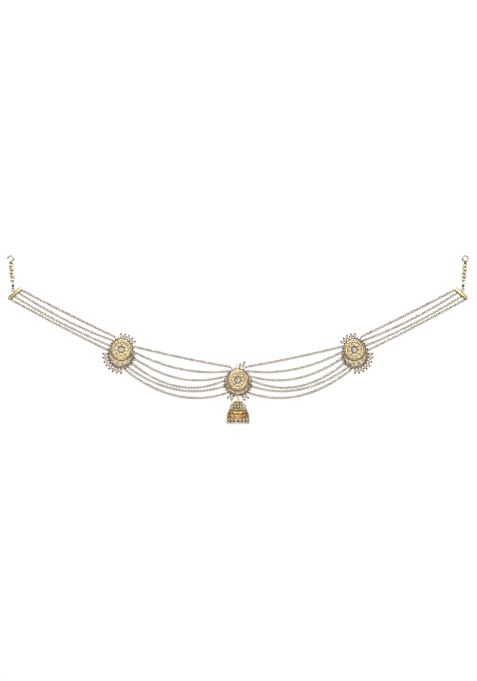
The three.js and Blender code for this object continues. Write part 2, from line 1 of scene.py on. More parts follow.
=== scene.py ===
"""A kamarband: strings of pearls, kundan medallions, a jhumka drop, end bars and chains.

The belt hangs with +Z up and its decorated front towards -Y. Sizes are millimetres. A
face-on place is a complex number, x to the right and y up, with z out of the front, until
`spot` turns it into the frame's metres. Angles are written in degrees and used in radians.
"""
import math
from cmath import rect
from types import SimpleNamespace as Sizes

import bpy
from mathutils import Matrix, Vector


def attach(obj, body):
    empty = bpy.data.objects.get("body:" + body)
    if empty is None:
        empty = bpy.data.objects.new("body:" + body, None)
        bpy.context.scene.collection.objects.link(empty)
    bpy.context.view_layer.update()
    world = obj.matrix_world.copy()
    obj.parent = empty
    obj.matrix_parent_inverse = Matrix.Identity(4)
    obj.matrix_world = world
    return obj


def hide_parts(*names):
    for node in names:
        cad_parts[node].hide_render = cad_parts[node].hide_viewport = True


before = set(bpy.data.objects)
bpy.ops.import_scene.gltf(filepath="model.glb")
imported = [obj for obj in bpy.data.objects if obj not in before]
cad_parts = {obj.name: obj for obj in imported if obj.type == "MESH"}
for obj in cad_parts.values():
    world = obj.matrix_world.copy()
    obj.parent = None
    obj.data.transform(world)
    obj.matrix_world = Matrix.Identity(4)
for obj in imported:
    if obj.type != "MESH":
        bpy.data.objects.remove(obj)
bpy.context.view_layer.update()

MM = 0.001
RAD = math.pi / 180
QUARTER = math.pi / 2
CIRCLE = 2 * math.pi
RIGHT, UPWARD, AHEAD = Vector((1, 0, 0)), Vector((0, 0, 1)), Vector((0, -1, 0))

# ---- driving dimensions

PEARL_R = 2.0
GAP = 0.3                         # between pieces that would touch
MID_Z = 2.0                       # the plane that strings, pins and chains lie in

DISC_R = 13.6
SCALLOP = 0.4                     # height of the lobes round a plate
LOBES = 24
FLOOR_Z = 2.4                     # what the disc's stones stand on
PETALS = 8
PIN_REACH = 4.4                   # from a plate's edge to a fringe pearl's centre
BAND_OFFSET = SCALLOP + GAP
BAND_WIDTH = 0.8
FRINGE_PITCH = 4.95
CRESCENT_PAIRS = 8
HARDLY_OUT = 1.5                  # a plate this little beyond its disc counts as disc

BAR = Sizes(length=23, width=5.4, back=0.5, front=3.0, rail=3.6)
BAR_CENTRE = -290.0 + 112.4j
BAR_AXIS = rect(1, 40.5 * RAD)
BAR_HOLES = (8.8, 3.9, -3.5, -9.6)
CHAIN_LEAN = 4.9

EYE = Sizes(radius=1.3, wire=0.45)
BAR_EYE = Sizes(radius=1.25, wire=0.45, along=0.1)
DROP_RING = Sizes(radius=1.8, wire=0.4)
JUMP_RING = Sizes(half_width=1.45, half_length=2.1, wire=0.5)
LINK = Sizes(half_width=2.75, half_length=3.2, wire=0.8)
LINK_TURN = 45                    # off face-on, each link to the other side
LINKS = 5
BLACK_BEAD_R = 1.75
BEAD_LOOP = Sizes(radius=1.3, wire=0.4)
BEAD_TOP = Sizes(half_width=1.6, half_length=2.7)
CLASP = Sizes(radius=3.55, wire=0.6)
CLASP_EYE = Sizes(radius=1.55, wire=0.5)
HOOK_TURN = (-90, 160)            # at the hook's foot and at its tip
HOOK_TIP_R = 1.0
KNOB = Sizes(angle=-25, reach=4.5, radius=0.85)
SUNK = 0.1                        # how far a wire runs into what it stands on
WIRE_GAP = 0.25

BELL_WALL = 1.2
RIM_PEARLS = 16                   # in each of the two rows
HOOP = Sizes(width=1.6, height=0.7)
JOINED = 0.35                     # how far touching rim pearls run into each other
CAP_PEARL_R = 1.75
CAP_PITCH = 2 * CAP_PEARL_R + 0.06
CAP_ROWS = ((4.9, 1.3), (7.05, 4.35), (9.2, 7.3))         # radius, depth below the apex
BELL_LINE = (                                             # radius, depth
    (1.0, 0), (2.2, 1.0), (6.8, 7.6), (7.2, 8.5), (10.6, 10.3),
    (11.5, 11.6), (13.0, 14.8), (14.2, 18.4), (14.35, 21.4),
)

# A medallion: its place, the tilt of its upright axis, the crescent under its disc, the
# radius of the crescent's stones as a share of its width, and how far to each side of its
# foot the lace round it stays open.
CENTRE = Sizes(at=0j, tilt=0, drop=4.4, radius=16.0, stones=0.35, open=9)
SIDE = Sizes(at=-151.8 + 39.4j, tilt=-6, drop=7.6, radius=15.9, stones=0.31, open=2)

# Strings of the left half, measured from the medallions they run to and from.
OUTER = (
    Sizes(to=-9.0 + 17.4j, sag=0.9), Sizes(to=-11.3 + 12.3j, sag=4.5),
    Sizes(to=-15.0 + 5.7j, sag=3.3), Sizes(to=-15.6 - 1.2j, sag=1.2),
)
INNER = (
    Sizes(start=13.9 + 5.0j, to=-10.3 + 17.3j, sag=1.3),
    Sizes(start=15.4 - 2.0j, to=-11.2 + 11.9j, sag=10.3),
    Sizes(start=13.3 - 8.5j, to=-13.7 + 5.8j, sag=16.1),
    Sizes(start=8.0 - 12.8j, to=-15.3 + 0.5j, sag=21.45),
    Sizes(start=3.0 - 18.4j, to=-12.9 - 6.2j, sag=19.4),
    Sizes(start=1.9 - 23.3j, to=-13.0 - 16.1j, sag=20.0),
)
HALVES = (("left", -1), ("right", 1))


def spot(p, z=MID_Z):
    """A face-on place as a point of the frame."""
    return Vector((p.real, -z, p.imag)) * MM


def mirrored(p, side):
    return complex(-side * p.real, p.imag)


def steps_round(count, start=0.0):
    """Angles at an even pitch, once round."""
    return [start + CIRCLE * i / count for i in range(count)]


def evenly(start, end, steps):
    """Values from `start` to `end`, both included."""
    return [start + (end - start) * i / steps for i in range(steps + 1)]


def circle(radius, count, start=0.0):
    return [rect(radius, a) for a in steps_round(count, start)]


# ---- camera and studio

VIEW_WIDTH = 0.6215               # metres of the belt's plane across the picture
VIEW_HEIGHT = VIEW_WIDTH * 681 / 477
VIEW_CENTRE = Vector((0.00065, 0, 0.0515))
LENS = 85
SENSOR = 36
BELT_MIDDLE = Vector((0, 0, 0.03))
SOFTBOXES = {                     # place and size in metres, power in watts
    "front": ((-0.1, -2.4, 0.85), (1.1, 0.8), 48),
    "right": ((1.5, -1.6, 0.5), (0.5, 1.0), 6),
    "left": ((-1.7, -1.2, 0.3), (0.4, 1.0), 4),
    "back": ((0.1, 2.3, 1.1), (1.1, 0.8), 40),
}
WALL_GLOW = 0.20                  # of what lies straight ahead and behind, on the belt
FLOOR = Sizes(depth=-0.62, radius=0.95)                   # metres


def in_scene(name, data):
    obj = bpy.data.objects.new(name, data)
    bpy.context.scene.collection.objects.link(obj)
    return obj


def aimed(name, data, place, target):
    obj = in_scene(name, data)
    obj.location = place
    obj.rotation_euler = (target - Vector(place)).to_track_quat("-Z", "Y").to_euler()
    return obj


def make_camera():
    camera = bpy.data.cameras.new("camera")
    camera.lens = LENS
    camera.sensor_width = SENSOR
    camera.clip_start = 0.01
    place = VIEW_CENTRE - Vector((0, VIEW_HEIGHT * LENS / SENSOR, 0))
    bpy.context.scene.camera = aimed("camera", camera, place, VIEW_CENTRE)


def make_studio():
    for name, (place, size, power) in SOFTBOXES.items():
        light = bpy.data.lights.new(name + " softbox", "AREA")
        light.shape = "RECTANGLE"
        light.size, light.size_y = size
        light.energy = power
        aimed(light.name, light, place, BELT_MIDDLE)

    world = bpy.data.worlds.new("white studio")
    bpy.context.scene.world = world
    world.use_nodes = True
    world.node_tree.nodes.clear()
    bench = Bench(world.node_tree)
    way = bench.add("SeparateXYZ", {0: coordinates(bench, "Generated")})
    ahead = bench.math("ABSOLUTE", way.node.outputs["Y"])
    glow = ramp(bench, bench.math("POWER", ahead, 2.0), [(0.0, 0.0), (1.0, WALL_GLOW)])
    light = bench.add("Background", {"Color": glow, "Strength": 1.0})
    white = bench.add("Background", {"Color": (1, 1, 1, 1), "Strength": 1.0})
    walls = bench.add("MixShader", {0: bench.add("LightPath"), 1: light, 2: white})
    bench.add("OutputWorld", {"Surface": walls})

    view = bpy.context.scene.view_settings
    view.view_transform = "Standard"
    view.look = "None"


def make_floor():
    edge = [Vector((p.real, p.imag, FLOOR.depth)) for p in circle(FLOOR.radius, count=96)]
    floor = mesh_object("floor", edge, [tuple(range(len(edge)))])
    floor.data.materials.append(FLOOR_PAPER)


# ---- node trees

class Bench:
    """Adds nodes to a tree. A kind is given without its family, and a socket by name or
    number, as a value or a wire."""

    def __init__(self, tree):
        self.tree = tree

    def feed(self, node, sockets):
        for key, value in sockets.items():
            target = node.inputs[key] if isinstance(key, int) else next(
                s for s in node.inputs if s.enabled and s.name == key)
            for each in value if isinstance(value, list) else [value]:
                if isinstance(each, bpy.types.NodeSocket):
                    self.tree.links.new(each, target)
                else:
                    target.default_value = each

    def add(self, kind, sockets=None, **settings):
        """The new node's first output, or the node where it has none."""
        families = ("GeometryNode", "ShaderNode", "FunctionNode", "Node")
        family = next(f for f in families if hasattr(bpy.types, f + kind))
        node = self.tree.nodes.new(family + kind)
        for name, value in settings.items():
            setattr(node, name, value)
        self.feed(node, sockets or {})
        return next((s for s in node.outputs if s.enabled), node)

    def math(self, operation, *values):
        return self.add("Math", dict(enumerate(values)), operation=operation)

    def scaled(self, vector, factor):
        return self.add("VectorMath", {0: vector, "Scale": factor}, operation="SCALE")


def path_tree(name, inputs):
    """A Geometry Nodes tree with named inputs, whose source is a mesh of points or edges."""
    tree = bpy.data.node_groups.new(name, "GeometryNodeTree")
    for label, kind in {"Source": "Geometry", **inputs}.items():
        tree.interface.new_socket(label, in_out="INPUT", socket_type="NodeSocket" + kind)
    tree.interface.new_socket("Result", in_out="OUTPUT", socket_type="NodeSocketGeometry")
    given = tree.nodes.new("NodeGroupInput")
    return Bench(tree), {socket.name: socket for socket in given.outputs}


def end_tree(bench, geometry, finish):
    smooth = bench.add("SetShadeSmooth", {"Geometry": geometry})
    real = bench.add("RealizeInstances", {"Geometry": smooth})
    done = bench.add("SetMaterial", {"Geometry": real, "Material": finish})
    bench.add("GroupOutput", {0: done})
    return bench.tree


def scattered_balls(bench, given, points, turned=None):
    """Balls on points, each a little uneven and with a tint of its own. Their poles, where
    a bead is drilled, lie along the Z of `turned`."""
    seed, rings = given["Seed"], given["Rings"]
    least = bench.math("SUBTRACT", 1.0, given["Unevenness"])
    thinnest = bench.add("CombineXYZ", {"X": least, "Y": least, "Z": 1.0})
    uneven = bench.add("RandomValue", {0: thinnest, 1: (1, 1, 1), 8: seed},
                       data_type="FLOAT_VECTOR")
    ball = bench.add("MeshUVSphere", {
        "Segments": bench.math("MULTIPLY", rings, 2.0), "Rings": rings, "Radius": 1.0})
    balls = bench.add("InstanceOnPoints", {
        "Points": points, "Instance": ball, "Scale": bench.scaled(uneven, given["Ball radius"]),
        **({"Rotation": turned} if turned else {})})
    tint = bench.add("RandomValue", {2: 0.0, 3: 1.0, 8: bench.math("ADD", seed, 7)},
                     data_type="FLOAT")
    return bench.add("StoreNamedAttribute", {"Geometry": balls, "Name": "tint", "Value": tint},
                     data_type="FLOAT", domain="INSTANCE")


BALL_SIZES = {"Ball radius": "Float", "Unevenness": "Float", "Rings": "Int", "Seed": "Int",
              "Finish": "Material"}


def make_bead_tree():
    """Balls threaded along each route at an even pitch, half a step in from an open end."""
    bench, given = path_tree("threaded beads", {"Pitch": "Float", "Closed": "Bool", **BALL_SIZES})
    route = bench.add("MeshToCurve", {0: given["Source"]})
    length = bench.add("SplineLength")
    steps = bench.math("ROUND", bench.math("DIVIDE", length, given["Pitch"]))
    half_step = bench.math("DIVIDE", 0.5, bench.math("MAXIMUM", steps, 1.0))
    inset = bench.add("TrimCurve", {
        "Curve": route, "Start": half_step, "End": bench.math("SUBTRACT", 1.0, half_step)},
        mode="FACTOR")
    thread = bench.add("Switch", {"Switch": given["Closed"], "False": inset, "True": route},
                       input_type="GEOMETRY")
    count = bench.math("ADD", steps, bench.math("SUBTRACT", 1.0, given["Closed"]))
    points = bench.add("ResampleCurve", {"Curve": thread, "Count": count}, mode="COUNT")
    along = bench.add("AlignRotationToVector", {"Vector": bench.add("InputTangent")}, axis="Z")
    return end_tree(bench, scattered_balls(bench, given, points, along), given["Finish"])


def make_ball_tree():
    """One ball on each point."""
    bench, given = path_tree("balls on points", BALL_SIZES)
    return end_tree(bench, scattered_balls(bench, given, given["Source"]), given["Finish"])


def make_wire_tree():
    """Round wire along each route. With strands apart, two of them twist round each other."""
    bench, given = path_tree("drawn wire", {
        "Wire radius": "Float", "Sides": "Int", "Strands apart": "Float", "Twists": "Float",
        "Finish": "Material"})
    route = bench.add("MeshToCurve", {0: given["Source"]})
    factor = bench.add("SplineParameter")
    tilt = bench.math("MULTIPLY", bench.math("MULTIPLY", factor, given["Twists"]), CIRCLE)
    tilted = bench.add("SetCurveTilt", {"Curve": route, "Tilt": tilt})
    round_wire = bench.add("CurvePrimitiveCircle", {
        "Resolution": given["Sides"], "Radius": given["Wire radius"]})
    shift = bench.add("CombineXYZ", {"X": given["Strands apart"]})
    pair = bench.add("JoinGeometry", {"Geometry": [
        bench.add("Transform", {"Geometry": round_wire, "Translation": way})
        for way in (shift, bench.scaled(shift, -1.0))]})
    twisted = bench.math("GREATER_THAN", given["Strands apart"], 0.0)
    profile = bench.add("Switch", {"Switch": twisted, "False": round_wire, "True": pair},
                        input_type="GEOMETRY")
    drawn = bench.add("CurveToMesh", {"Curve": tilted, "Profile Curve": profile,
                                      "Fill Caps": True})
    return end_tree(bench, drawn, given["Finish"])


# ---- finishes

WHITE = (1.0, 1.0, 1.0)
# Painted shade where balls touch and crowd: the colour a closed place is darkened to, up to how
# open it must be to stay unshaded.
SOFT_CONTACT_SHADE = [(0.45, (0.22, 0.19, 0.17)), (0.98, WHITE)]
HEAVY_CONTACT_SHADE = [(0.4, (0.12, 0.08, 0.04)), (0.95, WHITE)]
WEAR = 0.06                       # how far a metal's roughness varies each way


def new_finish(name):
    material = bpy.data.materials.new(name)
    material.use_nodes = True
    tree = material.node_tree
    return material, Bench(tree), tree.nodes["Principled BSDF"]


def coordinates(bench, kind="Object"):
    return bench.add("TexCoord").node.outputs[kind]


def noise(bench, size, seed=0.0):
    """Noise whose spots are about `size` across, fixed to the piece."""
    shifted = bench.add("Mapping", {"Vector": coordinates(bench), "Location": (seed,) * 3})
    return bench.add("TexNoise", {"Vector": shifted, "Scale": 1 / (size * MM), "Detail": 3.0})


def openness(bench, reach, samples):
    """From 0 in a recess to 1 in the open, as far as `reach` away."""
    return bench.add("AmbientOcclusion", {"Distance": reach * MM},
                     samples=samples).node.outputs["AO"]


def ramp(bench, factor, stops):
    """Colours or grey levels at the given places from 0 to 1."""
    node = bench.add("ValToRGB", {0: factor}).node
    elements = node.color_ramp.elements
    while len(elements) < len(stops):
        elements.new(1.0)
    for element, (place, colour) in zip(elements, stops):
        element.position = place
        element.color = (*colour, 1) if isinstance(colour, tuple) else (colour,) * 3 + (1,)
    return node.outputs[0]


def mixed(bench, factor, first, second, blend="MIX"):
    return bench.add("Mix", {"Factor": factor, "A": first, "B": second}, data_type="RGBA",
                     blend_type=blend)


def bumped(bench, height, strength, depth):
    return bench.add("Bump", {"Height": height, "Strength": strength, "Distance": depth * MM})


def gold_finish(name, bright, deep, patina, roughness, metallic=1.0, dirt=0.8):
    """Plated metal in two tones of gold, with patina in the recesses. `dirt` is how open a
    place must be to be free of it."""
    material, bench, shader = new_finish(name)
    tone = mixed(bench, ramp(bench, noise(bench, 2.2), [(0.35, 0.0), (0.65, 1.0)]),
                 (*bright, 1), (*deep, 1))
    clean = ramp(bench, openness(bench, 0.9, samples=6), [(dirt - 0.5, 0.0), (dirt, 1.0)])
    rough = ramp(bench, noise(bench, 0.7, seed=3.0), [
        (0.3, roughness - WEAR), (0.7, roughness + WEAR)])
    bench.feed(shader, {
        "Base Color": mixed(bench, clean, (*patina, 1), tone), "Roughness": rough,
        "Metallic": metallic, "Normal": bumped(bench, noise(bench, 0.35, seed=5.0), 0.25, 0.02)})
    return material


def pearl_finish(name, tints, contact_shade=SOFT_CONTACT_SHADE):
    """Imitation nacre: each ball has its own tint, a faint cloud and a clear coat, and painted
    shade darkens it where balls touch and crowd.
    """
    material, bench, shader = new_finish(name)
    own = bench.add("Attribute", attribute_name="tint").node.outputs["Fac"]
    cloud = ramp(bench, noise(bench, 1.6, seed=1.0), [(0.3, 0.88), (0.7, 1.0)])
    clouded = mixed(bench, 1.0, ramp(bench, own, tints), cloud, "MULTIPLY")
    # painted shade: the colour darkens where neighbouring balls close a place in
    shade = ramp(bench, openness(bench, 1.6, samples=4), contact_shade)
    bench.feed(shader, {
        "Base Color": mixed(bench, 1.0, clouded, shade, "MULTIPLY"), "Roughness": 0.27,
        "Metallic": 0.0, "Coat Weight": 0.8, "Coat Roughness": 0.08, "Specular IOR Level": 0.6,
        "Normal": bumped(bench, noise(bench, 0.5, seed=2.0), 0.12, 0.03)})
    return material


def kundan_finish(name, light, dark, facet=1.3):
    """Foil-backed glass: facets, about `facet` across, each painted dark, lit or near white as
    painted reflections and glints, under a polished surface."""
    material, bench, shader = new_finish(name)
    facets = bench.add("TexVoronoi", {"Vector": coordinates(bench), "Scale": 1 / (facet * MM)})
    tone = bench.add("SeparateColor", {0: facets.node.outputs["Color"]})
    bench.feed(shader, {
        # painted reflections: each facet takes a dark, a lit or a near-white tone at random
        "Base Color": ramp(bench, tone, [(0.05, dark), (0.3, light), (1.0, (1.0, 0.99, 0.97))]),
        "Roughness": 0.06, "Metallic": 0.25, "Coat Weight": 1.0, "Coat Roughness": 0.02,
        "Specular IOR Level": 0.8, "Normal": bumped(bench, facets, 0.3, 0.1)})
    return material


def plain_finish(name, colour, roughness, coat=0.0):
    material, bench, shader = new_finish(name)
    speck = ramp(bench, noise(bench, 1.1), [(0.3, 0.85), (0.7, 1.0)])
    bench.feed(shader, {
        "Base Color": mixed(bench, 1.0, (*colour, 1), speck, "MULTIPLY"),
        "Roughness": roughness, "Coat Weight": coat, "Coat Roughness": 0.05})
    return material


def floor_finish():
    """White paper that looks evenly lit to the camera and throws no more light on the belt."""
    material, bench, shader = new_finish("floor paper")
    bench.feed(shader, {
        "Base Color": (0.93, 0.93, 0.92, 1), "Roughness": 0.9, "Emission Color": (1, 1, 1, 1),
        "Emission Strength": bench.math("MULTIPLY", bench.add("LightPath"), 0.5)})
    return material


# What share of the balls has which tint.
PEARL = pearl_finish("pearl", [
    (0.0, (0.75, 0.66, 0.50)), (0.3, (0.63, 0.58, 0.47)), (0.55, (0.77, 0.66, 0.56)),
    (0.8, (0.53, 0.49, 0.39)), (1.0, (0.66, 0.57, 0.53))])
# The rose and grey pearls take the heavier painted shade where they touch.
ROSE_PEARL = pearl_finish("rose pearl", [
    (0.0, (0.92, 0.68, 0.43)), (0.5, (0.90, 0.77, 0.55)), (1.0, (0.76, 0.53, 0.29))], HEAVY_CONTACT_SHADE)
GREY_PEARL = pearl_finish("grey pearl", [
    (0.0, (0.87, 0.74, 0.43)), (0.5, (0.64, 0.54, 0.31)), (1.0, (0.95, 0.86, 0.62))], HEAVY_CONTACT_SHADE)
# The second colour of each glass is the dark of its painted facet reflections.
KUNDAN = kundan_finish("kundan glass", (0.85, 0.74, 0.57), (0.26, 0.17, 0.09))
PINK_KUNDAN = kundan_finish("blush kundan glass", (0.90, 0.71, 0.54), (0.36, 0.20, 0.12))
PLATE_GOLD = gold_finish("medallion gold", (0.92, 0.77, 0.50), (0.76, 0.59, 0.32),
                         (0.08, 0.05, 0.02), 0.30, metallic=0.85, dirt=0.92)
BELL_GOLD = gold_finish("bell gold", (1.0, 0.70, 0.27), (1.0, 0.50, 0.13),
                        (0.12, 0.04, 0.01), 0.25, metallic=0.6, dirt=0.88)
BAR_GOLD = gold_finish("bar gold", (1.0, 0.83, 0.43), (0.98, 0.72, 0.31),
                       (0.30, 0.17, 0.05), 0.28, metallic=0.85)
CHAIN_GOLD = gold_finish("chain gold", (1.0, 0.84, 0.44), (0.94, 0.72, 0.32),
                         (0.16, 0.10, 0.03), 0.30, metallic=0.85)
# Gold darkened by age and by painted shade: cords, lace, wires and spacers of it lie in grooves and
# gaps, and their dark stands for the shade there.
AGED_AND_SHADED_GOLD = gold_finish("aged and shaded gold", (0.33, 0.21, 0.08), (0.17, 0.10, 0.035),
                        (0.06, 0.04, 0.02), 0.34)
# Near-black gold of pins, heads, crimps, knobs and spacers: dark metal, which between pearls also
# stands for painted shade in the gaps.
PIN_GOLD = gold_finish("pin gold", (0.17, 0.10, 0.05), (0.08, 0.045, 0.02),
                       (0.04, 0.02, 0.01), 0.38)
BLACK_GLASS = plain_finish("black glass", (0.012, 0.011, 0.010), 0.12, coat=1.0)
THREAD = plain_finish("thread", (0.36, 0.30, 0.22), 0.8)
FLOOR_PAPER = floor_finish()

# ---- making meshes

UNEVEN = 0.03                     # how much a ball may be thinner than it is long


def mesh_object(name, points, faces=(), edges=()):
    mesh = bpy.data.meshes.new(name)
    mesh.from_pydata([tuple(p) for p in points], list(edges), list(faces))
    mesh.update()
    return in_scene(name, mesh)


def grown(routes, closed, tree, sizes):
    """Runs a tree on routes drawn as edges, and keeps the plain mesh it makes."""
    points, edges = [], []
    for route in routes:
        first, last = len(points), len(points) + len(route) - 1
        points.extend(route)
        edges.extend((i, i + 1) for i in range(first, last))
        if closed:
            edges.append((last, first))
    source = mesh_object("growing", points, edges=edges)
    modifier = source.modifiers.new("grow", "NODES")
    modifier.node_group = tree
    for item in tree.interface.items_tree:
        if item.name in sizes:
            modifier[item.identifier] = sizes[item.name]
    graph = bpy.context.evaluated_depsgraph_get()
    mesh = bpy.data.meshes.new_from_object(source.evaluated_get(graph), depsgraph=graph)
    source.modifiers.remove(modifier)
    bpy.data.objects.remove(source)
    return in_scene("grown", mesh)


def beads(routes, radius, pitch, finish, closed=False, rings=6, seed=1):
    """Balls threaded along routes, `pitch` apart or nearly."""
    return grown(routes, closed, BEAD_TREE, {
        "Ball radius": radius * MM, "Pitch": pitch * MM, "Finish": finish, "Closed": closed,
        "Unevenness": UNEVEN, "Rings": rings, "Seed": seed})


def balls(points, radius, finish, unevenness=UNEVEN, rings=5, seed=1):
    return grown([[point] for point in points], False, BALL_TREE, {
        "Ball radius": radius * MM, "Finish": finish, "Unevenness": unevenness,
        "Rings": rings, "Seed": seed})


def wire(routes, radius, finish, closed=False, sides=8, apart=0.0, twists=0):
    return grown(routes, closed, WIRE_TREE, {
        "Wire radius": radius * MM, "Sides": sides, "Finish": finish,
        "Strands apart": apart * MM, "Twists": float(twists)})


def hoops(routes, radius, finish, **settings):
    """Wires whose ends meet."""
    return wire(routes, radius, finish, closed=True, **settings)


def ring_route(centre, across, along, radius, count=14):
    """A closed ring of points in the plane of two directions."""
    return [centre + (across * math.cos(a) + along * math.sin(a)) * radius * MM
            for a in steps_round(count)]


def eye(size, centre, across, along, finish, count=28):
    """A ring of round wire that something hangs by."""
    return hoops([ring_route(centre, across, along, size.radius, count)], size.wire, finish,
                 sides=12)


def solid(name, points, faces, finish, crease=35):
    """A closed shape with its faces turned outwards and its hard edges kept."""
    obj = mesh_object(name, points, faces)
    mesh = obj.data
    volume = sum(points[f[0]].dot(points[f[i]].cross(points[f[i + 1]]))
                 for f in faces for i in range(1, len(f) - 1))
    if volume < 0:
        mesh.flip_normals()
    mesh.shade_smooth()
    mesh.set_sharp_from_angle(angle=crease * RAD)
    mesh.materials.append(finish)
    return obj


def looped_faces(rows, columns, last_joins_first=True):
    """Quads between rows of points, each row a closed ring of `columns` points."""
    faces = []
    for i in range(rows if last_joins_first else rows - 1):
        here, there = i * columns, ((i + 1) % rows) * columns
        for j in range(columns):
            k = (j + 1) % columns
            faces.append((here + j, here + k, there + k, there + j))
    return faces


def capped_faces(rows, columns):
    """The same, with the first and the last row closed over instead."""
    first, last = range(columns), range((rows - 1) * columns, rows * columns)
    return [*looped_faces(rows, columns, False), tuple(reversed(first)), tuple(last)]


def inset_outline(outline, inset):
    """An outline moved inwards, square to itself. Outlines run anticlockwise."""
    before, after = outline[-1:] + outline[:-1], outline[1:] + outline[:1]
    return [p + 1j * inset * (b - a) / abs(b - a) for a, p, b in zip(before, outline, after)]


def drawn_in(outline, inset):
    """An outline shrunk towards its middle, by `inset` where it is narrowest."""
    middle = sum(outline) / len(outline)
    kept = 1 - inset / min(abs(p - middle) for p in outline)
    return [middle + (p - middle) * kept for p in outline]


def stacked(name, outline, layers, place, finish, crease=35, inwards=inset_outline,
            faces=capped_faces):
    """A solid built up from insets of one outline: `layers` are (inset, height) pairs."""
    points = [place(p, height) for inset, height in layers for p in inwards(outline, inset)]
    return solid(name, points, faces(len(layers), len(outline)), finish, crease)


def merged(name, parts, body, nodes, slot):
    """Joins made parts into one piece that stands for its solids on a body."""
    piece = parts[0]
    with bpy.context.temp_override(active_object=piece, selected_editable_objects=parts,
                                   selected_objects=parts, object=piece):
        bpy.ops.object.join()
    piece.name = name
    piece.data.name = name
    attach(piece, body)
    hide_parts(*nodes)


BEAD_TREE = make_bead_tree()
BALL_TREE = make_ball_tree()
WIRE_TREE = make_wire_tree()

# ---- places on the belt


def medallion_at(side):
    return Sizes(**{**vars(SIDE), "at": mirrored(SIDE.at, side), "tilt": -side * SIDE.tilt})


def on_medallion(medallion):
    """Turns a place in a medallion's own axes into a point of the frame."""
    turn = rect(1, medallion.tilt * RAD)
    return lambda p, z=MID_Z: spot(medallion.at + p * turn, z)


def plate_radius(medallion, angle, extra=0.0):
    """From the disc's centre to the plate's edge, grown by `extra`."""
    along = -medallion.drop * math.sin(angle)
    radius = medallion.radius + extra
    crescent = along + math.sqrt(radius ** 2 - medallion.drop ** 2 + along ** 2)
    return max(DISC_R + extra, crescent)


def plate_clearance(medallion, p):
    """How far a place is outside a medallion's disc and crescent."""
    down = rect(medallion.drop, (medallion.tilt - 90) * RAD)
    return min(abs(p - medallion.at) - DISC_R, abs(p - medallion.at - down) - medallion.radius)


def on_bar(along, out, side):
    """A place on an end bar: along it towards the belt's middle, out towards the chain."""
    return mirrored(BAR_CENTRE + complex(along, out) * BAR_AXIS, side)


def bar_clearance(side, p):
    """How far a place is from a bar's middle line, towards the strings."""
    return -((mirrored(p, side) - BAR_CENTRE) / BAR_AXIS).imag


# ---- strings of pearls

TRIM_STEP = 0.0005
ROUTE_STEPS = 80
EDGE_STEPS = 240
FULL_PEARL_R = PEARL_R * 1.02     # strung pearls press together
THREAD_R = 0.28
CRIMP_R = 1.0
HOOP_OFFSET = 1.3                 # of the hoop's wire, outside a plate's edge

# How far each stays from the middle of a bar and from a plate's edge.
PEARLS_OFF = Sizes(bar=BAR.width / 2 + GAP, plate=BAND_OFFSET + BAND_WIDTH + GAP)
THREAD_OFF = Sizes(bar=BAR.width / 2 - 0.2, plate=BAND_OFFSET + BAND_WIDTH / 2)


class Hanging:
    """A string that hangs between two places, its middle `sag` below its chord's."""

    def __init__(self, start, end, sag):
        self.ends = start, (start + end) / 2 - 2j * sag, end

    def at(self, t):
        a, b, c = self.ends
        return (1 - t) ** 2 * a + 2 * t * (1 - t) * b + t * t * c

    def is_clear(self, t, reach, what, off):
        """`what` is a medallion, or the side whose bar it is."""
        a, b, c = self.ends
        ahead = (1 - t) * (b - a) + t * (c - b)
        edges = [self.at(t) + 1j * ahead / abs(ahead) * out for out in (-reach, 0, reach)]
        if isinstance(what, int):
            return all(bar_clearance(what, p) >= off.bar for p in edges)
        return all(plate_clearance(what, p) >= off.plate for p in edges)

    def trimmed(self, reach, between, off):
        """The stretch whose ends, `reach` to each side, are clear of what they run between."""
        start, end = 0.0, 1.0
        while not self.is_clear(start, reach, between[0], off):
            start += TRIM_STEP
        while not self.is_clear(end, reach, between[1], off):
            end -= TRIM_STEP
        return [self.at(t) for t in evenly(start, end, ROUTE_STEPS)]


def make_strings():
    """Each string's name, what it runs between, and the routes of its pearls and thread."""
    made = []
    for label, side in HALVES:
        medallion = medallion_at(side)
        outer = [(on_bar(hole, 0, side), (side, medallion), row)
                 for hole, row in zip(BAR_HOLES, OUTER)]
        inner = [(medallion.at + mirrored(row.start, side), (medallion, CENTRE), row)
                 for row in INNER]
        for kind, strings in (("outer", outer), ("inner", inner)):
            for i, (start, between, row) in enumerate(strings, 1):
                line = Hanging(start, between[1].at + mirrored(row.to, side), row.sag)
                made.append(Sizes(
                    name=f"{label}_{kind}_string_{i}", between=between,
                    pearls=line.trimmed(PEARL_R, between, PEARLS_OFF),
                    thread=line.trimmed(0, between, THREAD_OFF)))
    return made


STRINGS = make_strings()


def even_steps(route, pitch):
    """Points at an even pitch along a route, from its first point to its last."""
    lengths = [(b - a).length for a, b in zip(route, route[1:])]
    count = max(1, round(sum(lengths) / (pitch * MM)))
    step, points, walked, i = sum(lengths) / count, [route[0]], 0.0, 0
    for k in range(1, count):
        while walked + lengths[i] < k * step:
            walked += lengths[i]
            i += 1
        points.append(route[i].lerp(route[i + 1], (k * step - walked) / lengths[i]))
    return [*points, route[-1]]


def edge_route(medallion, offset):
    """A line round a plate, `offset` outside its edge, open at the medallion's foot."""
    place, gap = on_medallion(medallion), medallion.open * RAD
    return [place(rect(plate_radius(medallion, a, offset), a))
            for a in evenly(gap - QUARTER, CIRCLE - gap - QUARTER, EDGE_STEPS)]


def nearest(points, to):
    return min(points, key=lambda p: (p - to).length)


